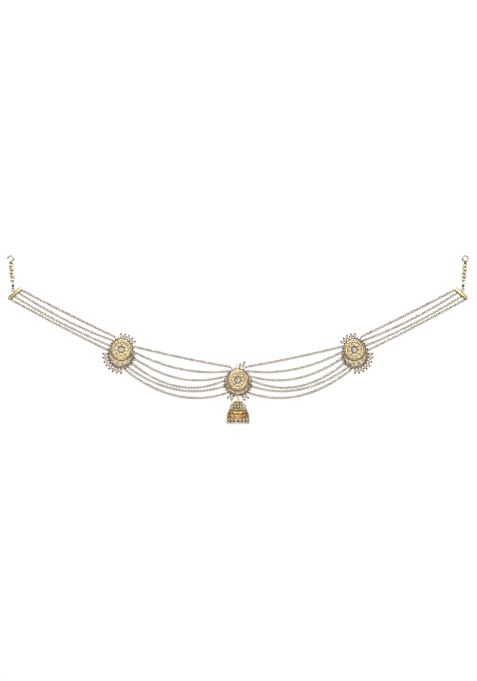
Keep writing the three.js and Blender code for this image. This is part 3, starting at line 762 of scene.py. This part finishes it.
def dress_strings():
    """Pearls on a thread. At a medallion the thread runs on to its hoop in bare wire."""
    for seed, made in enumerate(STRINGS):
        pearls, thread = [[spot(p) for p in route] for route in (made.pearls, made.thread)]
        crimps, tails = [], []
        for what, k in zip(made.between, (0, -1)):
            last, hooked = pearls[k], thread[k]
            if not isinstance(what, int):
                hooked = nearest(edge_route(what, HOOP_OFFSET), thread[k])
                tails.append([thread[k], hooked])
            crimps.append(last.lerp(hooked, min(1.0, CRIMP_R * MM / (last - hooked).length)))
        merged("pearls_" + made.name, [
            beads([pearls], FULL_PEARL_R, 2 * PEARL_R, PEARL, seed=seed),
            wire([thread], THREAD_R, THREAD, sides=6),
            wire(tails, THREAD_R, PIN_GOLD, sides=6),
            balls(crimps, CRIMP_R, PIN_GOLD),
        ], "belt", [made.name], "pearl")


# ---- fringes

PIN_WIRE_R = 0.32
PIN_HEAD_R = 1.25
SPACER_R = 1.1
LOOP_R = 0.65                     # of the loop that a pin hangs on its hoop by
HOOP_WIRE_R = 0.3
LACE = Sizes(offset=0.68, radius=0.6, wire=0.22, pitch=1.5)
RONDELLE = Sizes(radius=0.8, wire=0.46)
NEIGHBOURS = 5.6                  # how near two pearls' centres are to share a rondelle
KNOBS = Sizes(offset=2.3, radius=0.95, pitch=3.9, off_pearls=4.2)
# Two longer pins over the centre's disc, the first without a pearl: place and angle.
BARE_PIN, LONG_PIN = [(rect(reach, turn * RAD), turn * RAD)
                      for reach, turn in ((21.3, 97.5), (21.9, 70))]


def fringe_places(medallion, skipped_pairs):
    """Where fringe pearls stand clear of the strings: in pairs along the crescent, then
    round the disc. Each is a place in the medallion's axes and its pin's angle."""
    reach = medallion.radius + PIN_REACH
    angles = [side * (i + 0.5) * FRINGE_PITCH / reach - QUARTER
              for i in range(skipped_pairs, CRESCENT_PAIRS) for side in (-1, 1)]
    places = [(rect(reach, a) - 1j * medallion.drop, a) for a in angles]
    on_crescent = list(places)
    for angle in steps_round(LOBES, math.pi / LOBES):
        p = rect(DISC_R + PIN_REACH, angle)
        crowded = any(abs(q - p) < 2 * PEARL_R + GAP for q, _ in on_crescent)
        if not crowded and plate_radius(medallion, angle) < DISC_R + HARDLY_OUT:
            places.append((p, angle))
    return [(p, angle) for p, angle in places
            if clear_of_strings(on_medallion(medallion)(p))]


def clear_of_strings(point):
    return all((spot(p) - point).length > (2 * PEARL_R + GAP) * MM
               for made in STRINGS for p in made.pearls)


def rondelles(pearls):
    """A small dark ring between each two neighbouring pearls of a fringe."""
    routes = []
    for i, pearl in enumerate(pearls):
        for other in pearls[:i]:
            apart = other - pearl
            if apart.length < NEIGHBOURS * MM:
                across = apart.cross(AHEAD).normalized()
                routes.append(ring_route((pearl + other) / 2, across, AHEAD, RONDELLE.radius))
    return routes


def dress_fringe(name, medallion, node, places, bare):
    """Pearls on pins round a medallion's hoop, with knobs where none stands. Between hoop and
    plate small rings are soldered side by side."""
    place = on_medallion(medallion)
    hoop = edge_route(medallion, HOOP_OFFSET)
    centres = [place(p) for p, _ in places]
    knobs = [p for p in even_steps(edge_route(medallion, KNOBS.offset), KNOBS.pitch)
             if all((p - centre).length > KNOBS.off_pearls * MM for centre in centres)]
    lace = [ring_route(p, RIGHT, UPWARD, LACE.radius, 10)
            for p in even_steps(edge_route(medallion, LACE.offset), LACE.pitch)]
    pearls, pins, loops, tips, spacers = [], [], [], [], []
    for pin, centre in zip(places, centres):
        foot = nearest(hoop, centre)
        outward = (centre - foot).normalized()
        loops.append(ring_route(foot, outward, AHEAD, LOOP_R))
        start, tip = foot + outward * LOOP_R * MM, centre
        if pin != bare:
            tip = centre + outward * (PEARL_R + PIN_HEAD_R / 2) * MM
            pearls.append(centre)
            tips.append(tip)
            spacers.append(centre - outward * (PEARL_R + SPACER_R / 2) * MM)
        pins.append([start, tip])
    merged(name, [
        balls(pearls, PEARL_R, ROSE_PEARL, unevenness=0.06, rings=8,
              seed=int(medallion.at.real)),
        balls(tips, PIN_HEAD_R, PIN_GOLD),
        balls(knobs, KNOBS.radius, PIN_GOLD, unevenness=0.15),
        balls(spacers, SPACER_R, PIN_GOLD, unevenness=0.1),
        wire(pins, PIN_WIRE_R, PIN_GOLD, sides=6),
        hoops(loops, PIN_WIRE_R, PIN_GOLD, sides=6),
        hoops(rondelles(pearls), RONDELLE.wire, PIN_GOLD),
        wire([hoop], HOOP_WIRE_R, AGED_AND_SHADED_GOLD),
        hoops(lace, LACE.wire, AGED_AND_SHADED_GOLD, sides=5),
    ], "belt", [node], "pearl")

# ---- medallions

COLUMNS = 8 * LOBES
# The disc's face from its back outwards and in again: radius, height, and how much of the
# scallops (on the radius) and of the rays (on the height) a row takes.
DISC_ROWS = (
    (13.1, 0.4, 1), (13.5, 0.7, 1), (13.6, 1.1, 1), (13.6, 1.7, 1), (13.35, 2.15, 0.8),
    (12.95, 2.35, 0.3), (12.85, 2.3), (12.75, 2.65), (12.55, 2.8), (12.05, 2.8),
    (11.85, 2.65), (11.7, 2.35), (11.3, 2.4, 0, 0.3), (10.6, 2.45, 0, 0.36),
    (9.9, 2.42, 0, 0.26), (9.45, 2.35), (9.3, 2.6), (9.1, 2.7), (8.9, 2.6), (8.75, 2.3),
    (4.9, 2.25), (4.6, 2.5), (4.0, 2.5), (3.8, 2.3),
)
# The crescent plate from the sunk field of its back round to its rim in front: how far in
# from its edge, height, and how much of the scallops.
CRESCENT_ROWS = (
    (3.1, 0.35, 0), (2.6, 0.3, 0), (2.45, 0.05, 0), (2.2, 0.0, 0), (1.9, 0.05, 0),
    (1.7, 0.3, 0), (1.2, 0.3, 0), (0.9, 0.02, 0.4), (0.3, 0.0, 1), (0.0, 0.3, 1),
    (0.0, 1.6, 1), (0.3, 2.0, 1), (1.0, 2.0, 0), (1.25, 1.65, 0),
)
# painted shade: the dark twisted cord round the disc's edge stands for the shade in the groove
# between the disc and what lies round it
CORD_R = DISC_R + 0.45
CORD = {"radius": 0.27, "apart": 0.22, "twists": 60, "sides": 5}
EDGE_TWIST = Sizes(inset=0.65, off_disc=0.1, z=2.2, wire=0.3, apart=0.26, spread=198)
TWIST_STEPS = 8                   # of its route, to a full twist
RIM_GRAINS = {"ring": 12.3, "z": 2.85, "steps": 96, "radius": 0.34, "pitch": 0.8}
HEART_GRAINS = {"ring": 4.25, "z": 2.75, "steps": 48, "radius": 0.3, "pitch": 0.7}
PETAL_GRAINS = Sizes(ring=8.1, z=2.55, radius=0.5)
STONE_TURNS = (0, 20, 40, 59, 76)                # to each side of the crescent's foot
GRAIN_TURNS = (10, 30, 50, 68)
GRAINS = Sizes(off_edge=1.7, off_disc=0.75, least=1.2, z=2.0, radius=0.5)
# A stone's collet and cut. `table` is how far its flat top is drawn in.
COLLET = ((-0.16, 0.0), (-0.16, 0.9), (-0.05, 1.15), (0.12, 1.2), (0.26, 1.0), (0.26, 0.0))
COLLET_HEIGHT = 1.5               # of the stone that it is drawn for
GIRDLE = 0.22
CUT = ((0, 0.1, 0), (0, 0, 0.55), (0.45, 0, 0.85), (1, 0, 1))  # of table, lift, of height
SCALLOP_STONE = {"base": 1.65, "height": 1.75}
SCALLOP_TABLE = 0.4               # of the stone's radius
PETAL_STONE = {"base": FLOOR_Z, "height": 1.4, "table": 0.62}
HEART_STONE = {"base": FLOOR_Z, "height": 2.15, "table": 1.25}
HEART_R = 3.45
PETAL = Sizes(reach=6.62, half_length=1.72, half_width=1.42, taper=0.3)


def crescent_angles(turns):
    """Angles at each of these turns, to both sides of the crescent's foot."""
    return [(side * turn - 90) * RAD for turn in turns for side in ((-1, 1) if turn else (1,))]


def turned_relief(name, rows, place, drop=0.0):
    """A plate turned from rows, with scallops round its edge and rays on its face."""
    points = []
    for row in rows:
        radius, height, lobes, rays = (*row, 0, 0)[:4]
        for angle in steps_round(COLUMNS):
            reach = radius + lobes * SCALLOP * abs(math.sin(LOBES / 2 * angle))
            points.append(place(rect(reach, angle) - 1j * drop,
                                height + rays * abs(math.cos(LOBES * angle))))
    return solid(name, points, capped_faces(len(rows), COLUMNS), PLATE_GOLD)


def crescent_twist(place, medallion):
    """A twisted wire laid along the part of the crescent that shows."""
    half = EDGE_TWIST.spread / 2 * RAD
    line = [rect(medallion.radius - EDGE_TWIST.inset, a) - 1j * medallion.drop
            for a in evenly(-QUARTER - half, half - QUARTER, steps=400)]
    route = [place(p, EDGE_TWIST.z) for p in line if abs(p) > DISC_R + EDGE_TWIST.off_disc]
    return wire([route], EDGE_TWIST.wire, PLATE_GOLD, sides=6, apart=EDGE_TWIST.apart,
                twists=len(route) // TWIST_STEPS)


def grain_ring(place, ring, z, steps, **sizes):
    route = [place(p, z) for p in circle(ring, steps)]
    return beads([route], finish=PLATE_GOLD, closed=True, rings=4, **sizes)


def set_stone(place, outline, finish, base, height, table):
    wall = [(inset, base + rise * height / COLLET_HEIGHT) for inset, rise in COLLET]
    cut = [(GIRDLE + share * table, base + lift + rise * height) for share, lift, rise in CUT]
    return [stacked("collet", outline, wall, place, PLATE_GOLD, inwards=drawn_in,
                    faces=looped_faces),
            stacked("stone", outline, cut, place, finish, crease=8, inwards=drawn_in)]


def petal_outline(turn):
    """A drop shape with its point outwards, `turn` round the disc."""
    shape = [(PETAL.reach + PETAL.half_length * math.cos(a),
              PETAL.half_width * math.sin(a) * (1 - PETAL.taper * math.cos(a)))
             for a in steps_round(count=18)]
    return [complex(*p) * rect(1, turn) for p in shape]


def dress_medallion(label, medallion, places, extras=(), bare=None):
    place = on_medallion(medallion)

    def piece(name, parts, stands_for, slot):
        merged(f"{label}_{name}", parts, "belt", [f"{label}_medallion_{stands_for}"], slot)

    crescent = [(medallion.radius - inset, *rest) for inset, *rest in CRESCENT_ROWS]
    cord = [place(p) for p in circle(CORD_R, count=720)]
    gold = [turned_relief("crescent", crescent, place, medallion.drop),
            turned_relief("disc", DISC_ROWS, place), crescent_twist(place, medallion),
            hoops([cord], finish=AGED_AND_SHADED_GOLD, **CORD), *extras]
    for angle in crescent_angles(STONE_TURNS):
        edge = plate_radius(medallion, angle)
        radius = medallion.stones * (edge - DISC_R)
        outline = [rect((DISC_R + edge) / 2, angle) + p for p in circle(radius, count=14)]
        gold += set_stone(place, outline, PINK_KUNDAN, **SCALLOP_STONE,
                          table=radius * SCALLOP_TABLE)
    grains = []
    for angle in crescent_angles(GRAIN_TURNS):
        outer = plate_radius(medallion, angle) - GRAINS.off_edge
        if outer > DISC_R + GRAINS.least:
            grains += [place(rect(reach, angle), GRAINS.z)
                       for reach in (outer, DISC_R + GRAINS.off_disc)]
    gold += [balls(grains, GRAINS.radius, PLATE_GOLD, rings=4), grain_ring(place, **RIM_GRAINS)]
    piece("setting", gold, "plate", "plate_gold")

    petals = []
    for turn in steps_round(PETALS):
        petals += set_stone(place, petal_outline(turn), KUNDAN, **PETAL_STONE)
    grains = [place(p, PETAL_GRAINS.z) for p in circle(PETAL_GRAINS.ring, PETALS, math.pi / PETALS)]
    petals.append(balls(grains, PETAL_GRAINS.radius, PLATE_GOLD))
    piece("petals", petals, "petal_stones", "kundan_stone")

    heart = set_stone(place, circle(HEART_R, count=16), KUNDAN, **HEART_STONE)
    piece("heart", [*heart, grain_ring(place, **HEART_GRAINS)], "centre_stone", "kundan_stone")

    dress_fringe(f"{label}_fringe", medallion, f"{label}_medallion_pearl_fringe", places, bare)


EYE_Y = -(CENTRE.drop + CENTRE.radius) - EYE.radius


def dress_medallions():
    for label, side in HALVES:
        medallion = medallion_at(side)
        dress_medallion(label, medallion, fringe_places(medallion, 0))
    kept = [(p, angle) for p, angle in fringe_places(CENTRE, 1)
            if all(abs(p - pin[0]) > 2 * PEARL_R for pin in (BARE_PIN, LONG_PIN))]
    hanger = eye(EYE, spot(1j * EYE_Y), RIGHT, UPWARD, PLATE_GOLD)
    dress_medallion("centre", CENTRE, [*kept, BARE_PIN, LONG_PIN], [hanger], BARE_PIN)


# ---- drop

def crossing(wire_a, wire_b):
    """Between the middles of two wires that hang in each other."""
    return wire_a + wire_b + WIRE_GAP


DROP_RING_Y = EYE_Y - EYE.radius + crossing(EYE.wire, DROP_RING.wire) - DROP_RING.radius
BELL_EYE_Y = DROP_RING_Y - DROP_RING.radius + crossing(DROP_RING.wire, EYE.wire) - EYE.radius
APEX_Y = BELL_EYE_Y - EYE.radius
RIM_R, RIM_DEPTH = BELL_LINE[-1]
BELL_COLUMNS = 160
BELL_DEPTHS = (0.0, 0.5, 1.0, 2.6, 4.3, 6.0, 7.6, 8.1, 8.5, 9.4, 10.3, 11.0, 11.6,
               *(12.0 + 0.3 * i for i in range(29)), 20.7, 21.1, 21.4)
INNER_WALL = Sizes(thick=BELL_WALL * 0.8, down=BELL_WALL * 0.6)  # inside the outline
BELL_SUNK = 0.6                   # of the bell's skin between its bosses, inside its outline
BOSSES = 14
BOSS_BANDS = ((12.0, 16.1), (16.3, 20.4))
BOSS_HEIGHT = 0.9
BOSS_FULLNESS = 0.8               # the lower, the steeper a boss's sides
# What runs round the bell: its radius and depth, and how it is made.
BELL_TRIMS = (
    ((10.8, 10.3), beads, {"radius": 0.75, "pitch": 1.6, "finish": KUNDAN, "rings": 5}),
    ((11.35, 11.3, 512), wire, {"radius": 0.26, "finish": CHAIN_GOLD, "sides": 5,
                                "apart": 0.24, "twists": 44}),
    ((14.1, 20.75), beads, {"radius": 0.42, "pitch": 0.95, "finish": BELL_GOLD, "rings": 4}),
    ((14.05, 21.35), wire, {"radius": 0.3, "finish": BELL_GOLD}),
)
# painted shade: a near-black wire along the foot of each boss band darkens the valley there
BAND_WIRE = Sizes(inset=0.35, wire=0.3)
PEAK_GRAINS = Sizes(out=0.1, radius=0.62)
VALLEY_GRAINS = Sizes(out=-0.2, below=0.1, radius=0.7)
# Under the bell: pearls on pins that hang from a hoop by small loops.
RIM_LOOP = Sizes(radius=0.62, wire=0.2, lift=0.2)
RIM_PEARL_R = PEARL_R * 0.95
# painted shade: dark spacers and balls between the rim pearls fill the gaps there with dark
RIM_SPACER_R = 0.74
RIM_BALL_R = 1.0
RIM_WIRE = Sizes(hoop=0.35, row=0.2)
RIM_FOOT = Sizes(radius=0.4, below=0.15)


def on_drop(radius, depth, angle):
    return spot(complex(radius * math.sin(angle), APEX_Y - depth),
                MID_Z + radius * math.cos(angle))


def round_drop(radius, depth, count=64, start=0.0):
    return [on_drop(radius, depth, a) for a in steps_round(count, start)]


def bell_radius(depth):
    """The bell's outer radius, along its driving line."""
    for (r0, d0), (r1, d1) in zip(BELL_LINE, BELL_LINE[1:]):
        if depth <= d1:
            return r0 + (r1 - r0) * (depth - d0) / (d1 - d0)
    return RIM_R


def embossing(depth, angle):
    """Rows of raised bosses round the bell, each row half a step on from the last."""
    for row, (top, low) in enumerate(BOSS_BANDS):
        if top < depth < low:
            across = abs(math.cos(BOSSES / 2 * angle + row * QUARTER))
            down = math.sin(math.pi * (depth - top) / (low - top))
            return BOSS_HEIGHT * (down * across) ** BOSS_FULLNESS
    return 0.0


def bell_surface():
    points = [on_drop(bell_radius(depth) - BELL_SUNK + embossing(depth, angle), depth, angle)
              for depth in BELL_DEPTHS for angle in steps_round(BELL_COLUMNS)]
    for r, d in reversed(BELL_LINE[1:]):
        inner_depth = min(d + INNER_WALL.down, RIM_DEPTH)
        points += round_drop(r - INNER_WALL.thick, inner_depth, BELL_COLUMNS)
    faces = capped_faces(len(points) // BELL_COLUMNS, BELL_COLUMNS)
    return solid("bell", points, faces, BELL_GOLD, crease=50)


def dress_bell():
    bell = [bell_surface(), eye(EYE, spot(1j * BELL_EYE_Y), RIGHT, UPWARD, BELL_GOLD),
            *(make([round_drop(*at)], closed=True, **how) for at, make, how in BELL_TRIMS),
            hoops([round_drop(bell_radius(low) - BAND_WIRE.inset, low, 96)
                   for _, low in BOSS_BANDS], BAND_WIRE.wire, PIN_GOLD, sides=6)]
    for row, (top, low) in enumerate(BOSS_BANDS):
        middle, step = (top + low) / 2, CIRCLE / BOSSES
        peaks = round_drop(bell_radius(middle) + PEAK_GRAINS.out, middle, BOSSES, row / 2 * step)
        valleys = round_drop(bell_radius(low) + VALLEY_GRAINS.out, low + VALLEY_GRAINS.below,
                             BOSSES, (row + 1) / 2 * step)
        bell += [balls(peaks, PEAK_GRAINS.radius, CHAIN_GOLD),
                 balls(valleys, VALLEY_GRAINS.radius, CHAIN_GOLD, unevenness=0.1)]
    merged("bell", bell, "drop", ["drop_bell"], "bell_gold")


def dress_rim():
    hoop_r = RIM_R - HOOP.width / 2
    hoop_depth = RIM_DEPTH + GAP + HOOP.height / 2
    first = hoop_depth + HOOP.height / 2 + PEARL_R - JOINED
    second = first + 2 * PEARL_R - JOINED
    foot = second + PEARL_R + RIM_FOOT.below
    half_step = math.pi / RIM_PEARLS

    def studs(depths, start=0.0):
        return [p for depth in depths for p in round_drop(hoop_r, depth, RIM_PEARLS, start)]

    loops = [ring_route(on_drop(hoop_r, hoop_depth - RIM_LOOP.lift, a),
                        Vector((math.sin(a), -math.cos(a), 0)), UPWARD, RIM_LOOP.radius)
             for a in steps_round(RIM_PEARLS, half_step)]
    stems = list(zip(studs([hoop_depth], half_step), studs([foot], half_step)))
    merged("rim_pearls", [
        balls(studs((first, second)), RIM_SPACER_R, AGED_AND_SHADED_GOLD, unevenness=0.15),
        balls(studs([(first + second) / 2]), RIM_BALL_R, PIN_GOLD, unevenness=0.2),
        hoops([round_drop(hoop_r, depth, 96) for depth in (first, second)], RIM_WIRE.row,
              AGED_AND_SHADED_GOLD, sides=6),
        balls(studs((first, second), half_step), RIM_PEARL_R, ROSE_PEARL, unevenness=0.08,
              rings=8, seed=9),
        balls(studs([foot], half_step), RIM_FOOT.radius, PIN_GOLD),
        wire(stems, PIN_WIRE_R, PIN_GOLD, sides=6),
        hoops([round_drop(hoop_r, hoop_depth, 96)], RIM_WIRE.hoop, BELL_GOLD),
        hoops(loops, RIM_LOOP.wire, PIN_GOLD, sides=6),
    ], "drop", ["drop_rim_pearls"], "rose_pearl")


def dress_drop():
    ring = eye(DROP_RING, spot(1j * DROP_RING_Y), AHEAD, UPWARD, CHAIN_GOLD, 32)
    merged("hanging_ring", [ring], "ring", ["drop_ring"], "chain_gold")
    dress_bell()
    cap = beads([round_drop(*row) for row in CAP_ROWS], CAP_PEARL_R, CAP_PITCH, GREY_PEARL,
                closed=True, rings=8, seed=5)
    merged("cap_pearls", [cap], "drop", ["drop_cap_pearls"], "pearl")
    dress_rim()


# ---- end bars

ROUNDING = ((0.4, 0.0), (0.1, 0.15), (0.0, 0.45))                # inset, depth
RAIL = Sizes(shorter=1.2, narrower=2.5, shift=0.35)
RAIL_ROUNDING = ((0.0, 0.9), (0.0, 0.4), (0.15, 0.1), (0.45, 0.0))
# painted shadow: a near-black cord along the rail's foot on the strings' side stands for the shade
# of the groove there
GROOVE_SHADOW_CORD = Sizes(side=-1, off_rail=0.35, shorter=4, radius=0.34)
GRAIN_GROOVE = Sizes(side=1, off_rail=0.3, shorter=6, radius=0.3, pitch=0.74)
HOLE_LOOP = Sizes(radius=0.75, below=0.15)
STUD = Sizes(from_end=2.2, radius=0.75, below=0.1)
RIVET = Sizes(from_end=2.3, radius=0.85, wire=0.22, below=0.05)
EYE_OUT = BAR.width / 2 + BAR_EYE.radius - SUNK   # from the bar's middle to its eye's


def stadium(length, width, y=0.0, steps=12):
    """A bar's outline with round ends."""
    half = (length - width) / 2
    return [centre + 1j * y + rect(width / 2, a)
            for centre, start in ((half, -QUARTER), (-half, QUARTER))
            for a in evenly(start, start + math.pi, steps)]


def dress_bar(label, side):
    length, width = BAR.length, BAR.width
    rail_width = width - RAIL.narrower

    def place(p, z=MID_Z):
        return spot(on_bar(p.real, p.imag, side), z)

    def groove(line):
        edge = RAIL.shift + line.side * (rail_width / 2 + line.off_rail)
        reach = (length - line.shorter) / 2
        return [place(complex(x, edge), BAR.front) for x in evenly(-reach, reach, steps=40)]

    along, out = [(place(way) - place(0j)).normalized() for way in (1 + 0j, 1j)]
    chain = rect(1, CHAIN_LEAN * RAD)
    stud = complex(length / 2 - STUD.from_end, RAIL.shift)
    rivet = complex(RIVET.from_end - length / 2, RAIL.shift)
    merged(f"{label}_bar", [
        stacked("bar", stadium(length, width),
                [(inset, BAR.back + depth) for inset, depth in ROUNDING]
                + [(inset, BAR.front - depth) for inset, depth in reversed(ROUNDING)],
                place, BAR_GOLD, crease=60),
        stacked("rail", stadium(length - RAIL.shorter, rail_width, RAIL.shift),
                [(inset, BAR.rail - depth) for inset, depth in RAIL_ROUNDING],
                place, BAR_GOLD, crease=60),
        eye(BAR_EYE, place(complex(BAR_EYE.along, EYE_OUT)), AHEAD,
            Vector((side * chain.imag, 0, chain.real)), BAR_GOLD),
        # painted shadow of the groove by the rail
        wire([groove(GROOVE_SHADOW_CORD)], GROOVE_SHADOW_CORD.radius, AGED_AND_SHADED_GOLD),
        beads([groove(GRAIN_GROOVE)], GRAIN_GROOVE.radius, GRAIN_GROOVE.pitch, BAR_GOLD, rings=4),
        hoops([ring_route(place(complex(hole, -width / 2 - HOLE_LOOP.below)), out, AHEAD,
                          HOLE_LOOP.radius) for hole in BAR_HOLES], PIN_WIRE_R, PIN_GOLD),
        balls([place(stud, BAR.rail - STUD.below)], STUD.radius, AGED_AND_SHADED_GOLD, rings=8),
        hoops([ring_route(place(rivet, BAR.rail - RIVET.below), along, out, RIVET.radius)],
              RIVET.wire, CHAIN_GOLD),
    ], "belt", [f"{label}_end_bar"], "bar_gold")


# ---- chains and clasps

COLLAR = Sizes(radius=0.6, wire=0.28)


def racetrack(place, size, turn, middle=0.0, count=40):
    """A closed loop of two half circles with straight sides, turned off face-on."""
    across = rect(1, turn * RAD)
    straight = size.half_length - size.half_width
    return [place(complex(p.real * across.real, middle + p.imag + math.copysign(straight, p.imag)),
                  -p.real * across.imag)
            for p in circle(size.half_width, count, math.pi / count)]


def round_loop(place, size, turn, middle):
    """A ring of round wire, turned off face-on."""
    size = Sizes(half_width=size.radius, half_length=size.radius)
    return racetrack(place, size, turn, middle, 28)


def dress_chain(label, side):
    """One chain from the bar's eye upwards, each piece hung in the wire of the last."""
    lean, eye_at = rect(1, -side * CHAIN_LEAN * RAD), on_bar(BAR_EYE.along, EYE_OUT, side)
    reached, last_wire = BAR_EYE.radius, BAR_EYE.wire

    def hang(wire_r, below, above):
        """Hangs the next piece in the last wire, and gives what places things on it."""
        nonlocal reached, last_wire
        middle = reached - crossing(last_wire, wire_r) + below
        reached, last_wire = middle + above, wire_r
        return lambda p, z=0.0: spot(eye_at + (p + 1j * middle) * lean, MID_Z + z)

    place = hang(JUMP_RING.wire, JUMP_RING.half_length, JUMP_RING.half_length)
    jump = hoops([racetrack(place, JUMP_RING, 0)], JUMP_RING.wire, AGED_AND_SHADED_GOLD, sides=12)
    merged(f"{label}_jump", [jump], "belt", [f"{label}_jump_ring"], "aged_gold")
    dress_black_bead(label, hang(BEAD_LOOP.wire, BLACK_BEAD_R + 2 * BEAD_LOOP.radius - SUNK,
                                 BLACK_BEAD_R + 2 * BEAD_TOP.half_length - SUNK))
    links = [racetrack(hang(LINK.wire, LINK.half_length, LINK.half_length), LINK,
                       -LINK_TURN if i % 2 else LINK_TURN) for i in range(LINKS)]
    dress_clasp(label, side, hang(CLASP_EYE.wire, 0, 0))
    chain = hoops(links, LINK.wire, CHAIN_GOLD, sides=12)
    nodes = [f"{label}_chain_link_{i}" for i in range(1, LINKS + 1)]
    merged(f"{label}_chain", [chain], "belt", nodes, "chain_gold")


def dress_black_bead(label, place):
    lower = round_loop(place, BEAD_LOOP, 90, SUNK - BLACK_BEAD_R - BEAD_LOOP.radius)
    upper = racetrack(place, BEAD_TOP, -LINK_TURN, BLACK_BEAD_R + BEAD_TOP.half_length - SUNK)
    up = (place(1j) - place(0)).normalized()
    collars = [ring_route(place(1j * y), AHEAD, up.cross(AHEAD), COLLAR.radius)
               for y in (-BLACK_BEAD_R, BLACK_BEAD_R)]
    merged(f"{label}_bead", [
        balls([place(0)], BLACK_BEAD_R, BLACK_GLASS, unevenness=0.0, rings=12),
        hoops([lower, upper], BEAD_LOOP.wire, CHAIN_GOLD, sides=10),
        hoops(collars, COLLAR.wire, CHAIN_GOLD),
    ], "belt", [f"{label}_black_bead"], "black_bead")


def dress_clasp(label, side, place):
    """A hook on the left and a plain ring on the right."""
    middle = 1j * (2 * CLASP_EYE.radius + CLASP.radius + SUNK)

    def on_clasp(angle, reach=CLASP.radius):
        return place(middle + rect(reach, angle))

    knob = KNOB.angle * RAD
    knob = on_clasp(knob if side < 0 else math.pi - knob, KNOB.reach)
    foot = round_loop(place, CLASP_EYE, -LINK_TURN, CLASP_EYE.radius)
    parts = [hoops([foot], CLASP_EYE.wire, AGED_AND_SHADED_GOLD, sides=12),
             balls([knob], KNOB.radius, AGED_AND_SHADED_GOLD, rings=8)]
    if side > 0:
        route = [on_clasp(a) for a in steps_round(count=64)]
        parts.append(hoops([route], CLASP.wire, AGED_AND_SHADED_GOLD, sides=16))
    else:
        route = [on_clasp(a * RAD) for a in evenly(*HOOK_TURN, steps=48)]
        parts += [wire([route], CLASP.wire, AGED_AND_SHADED_GOLD, sides=16),
                  balls([route[-1]], HOOK_TIP_R, AGED_AND_SHADED_GOLD, rings=10)]
    node = f"{label}_end_{'ring' if side > 0 else 'hook'}"
    merged(f"{label}_clasp", parts, "belt", [node], "aged_gold")


# ---- the belt

make_camera()
make_studio()
make_floor()
dress_strings()
dress_medallions()
dress_drop()
for end_label, end_side in HALVES:
    dress_bar(end_label, end_side)
    dress_chain(end_label, end_side)
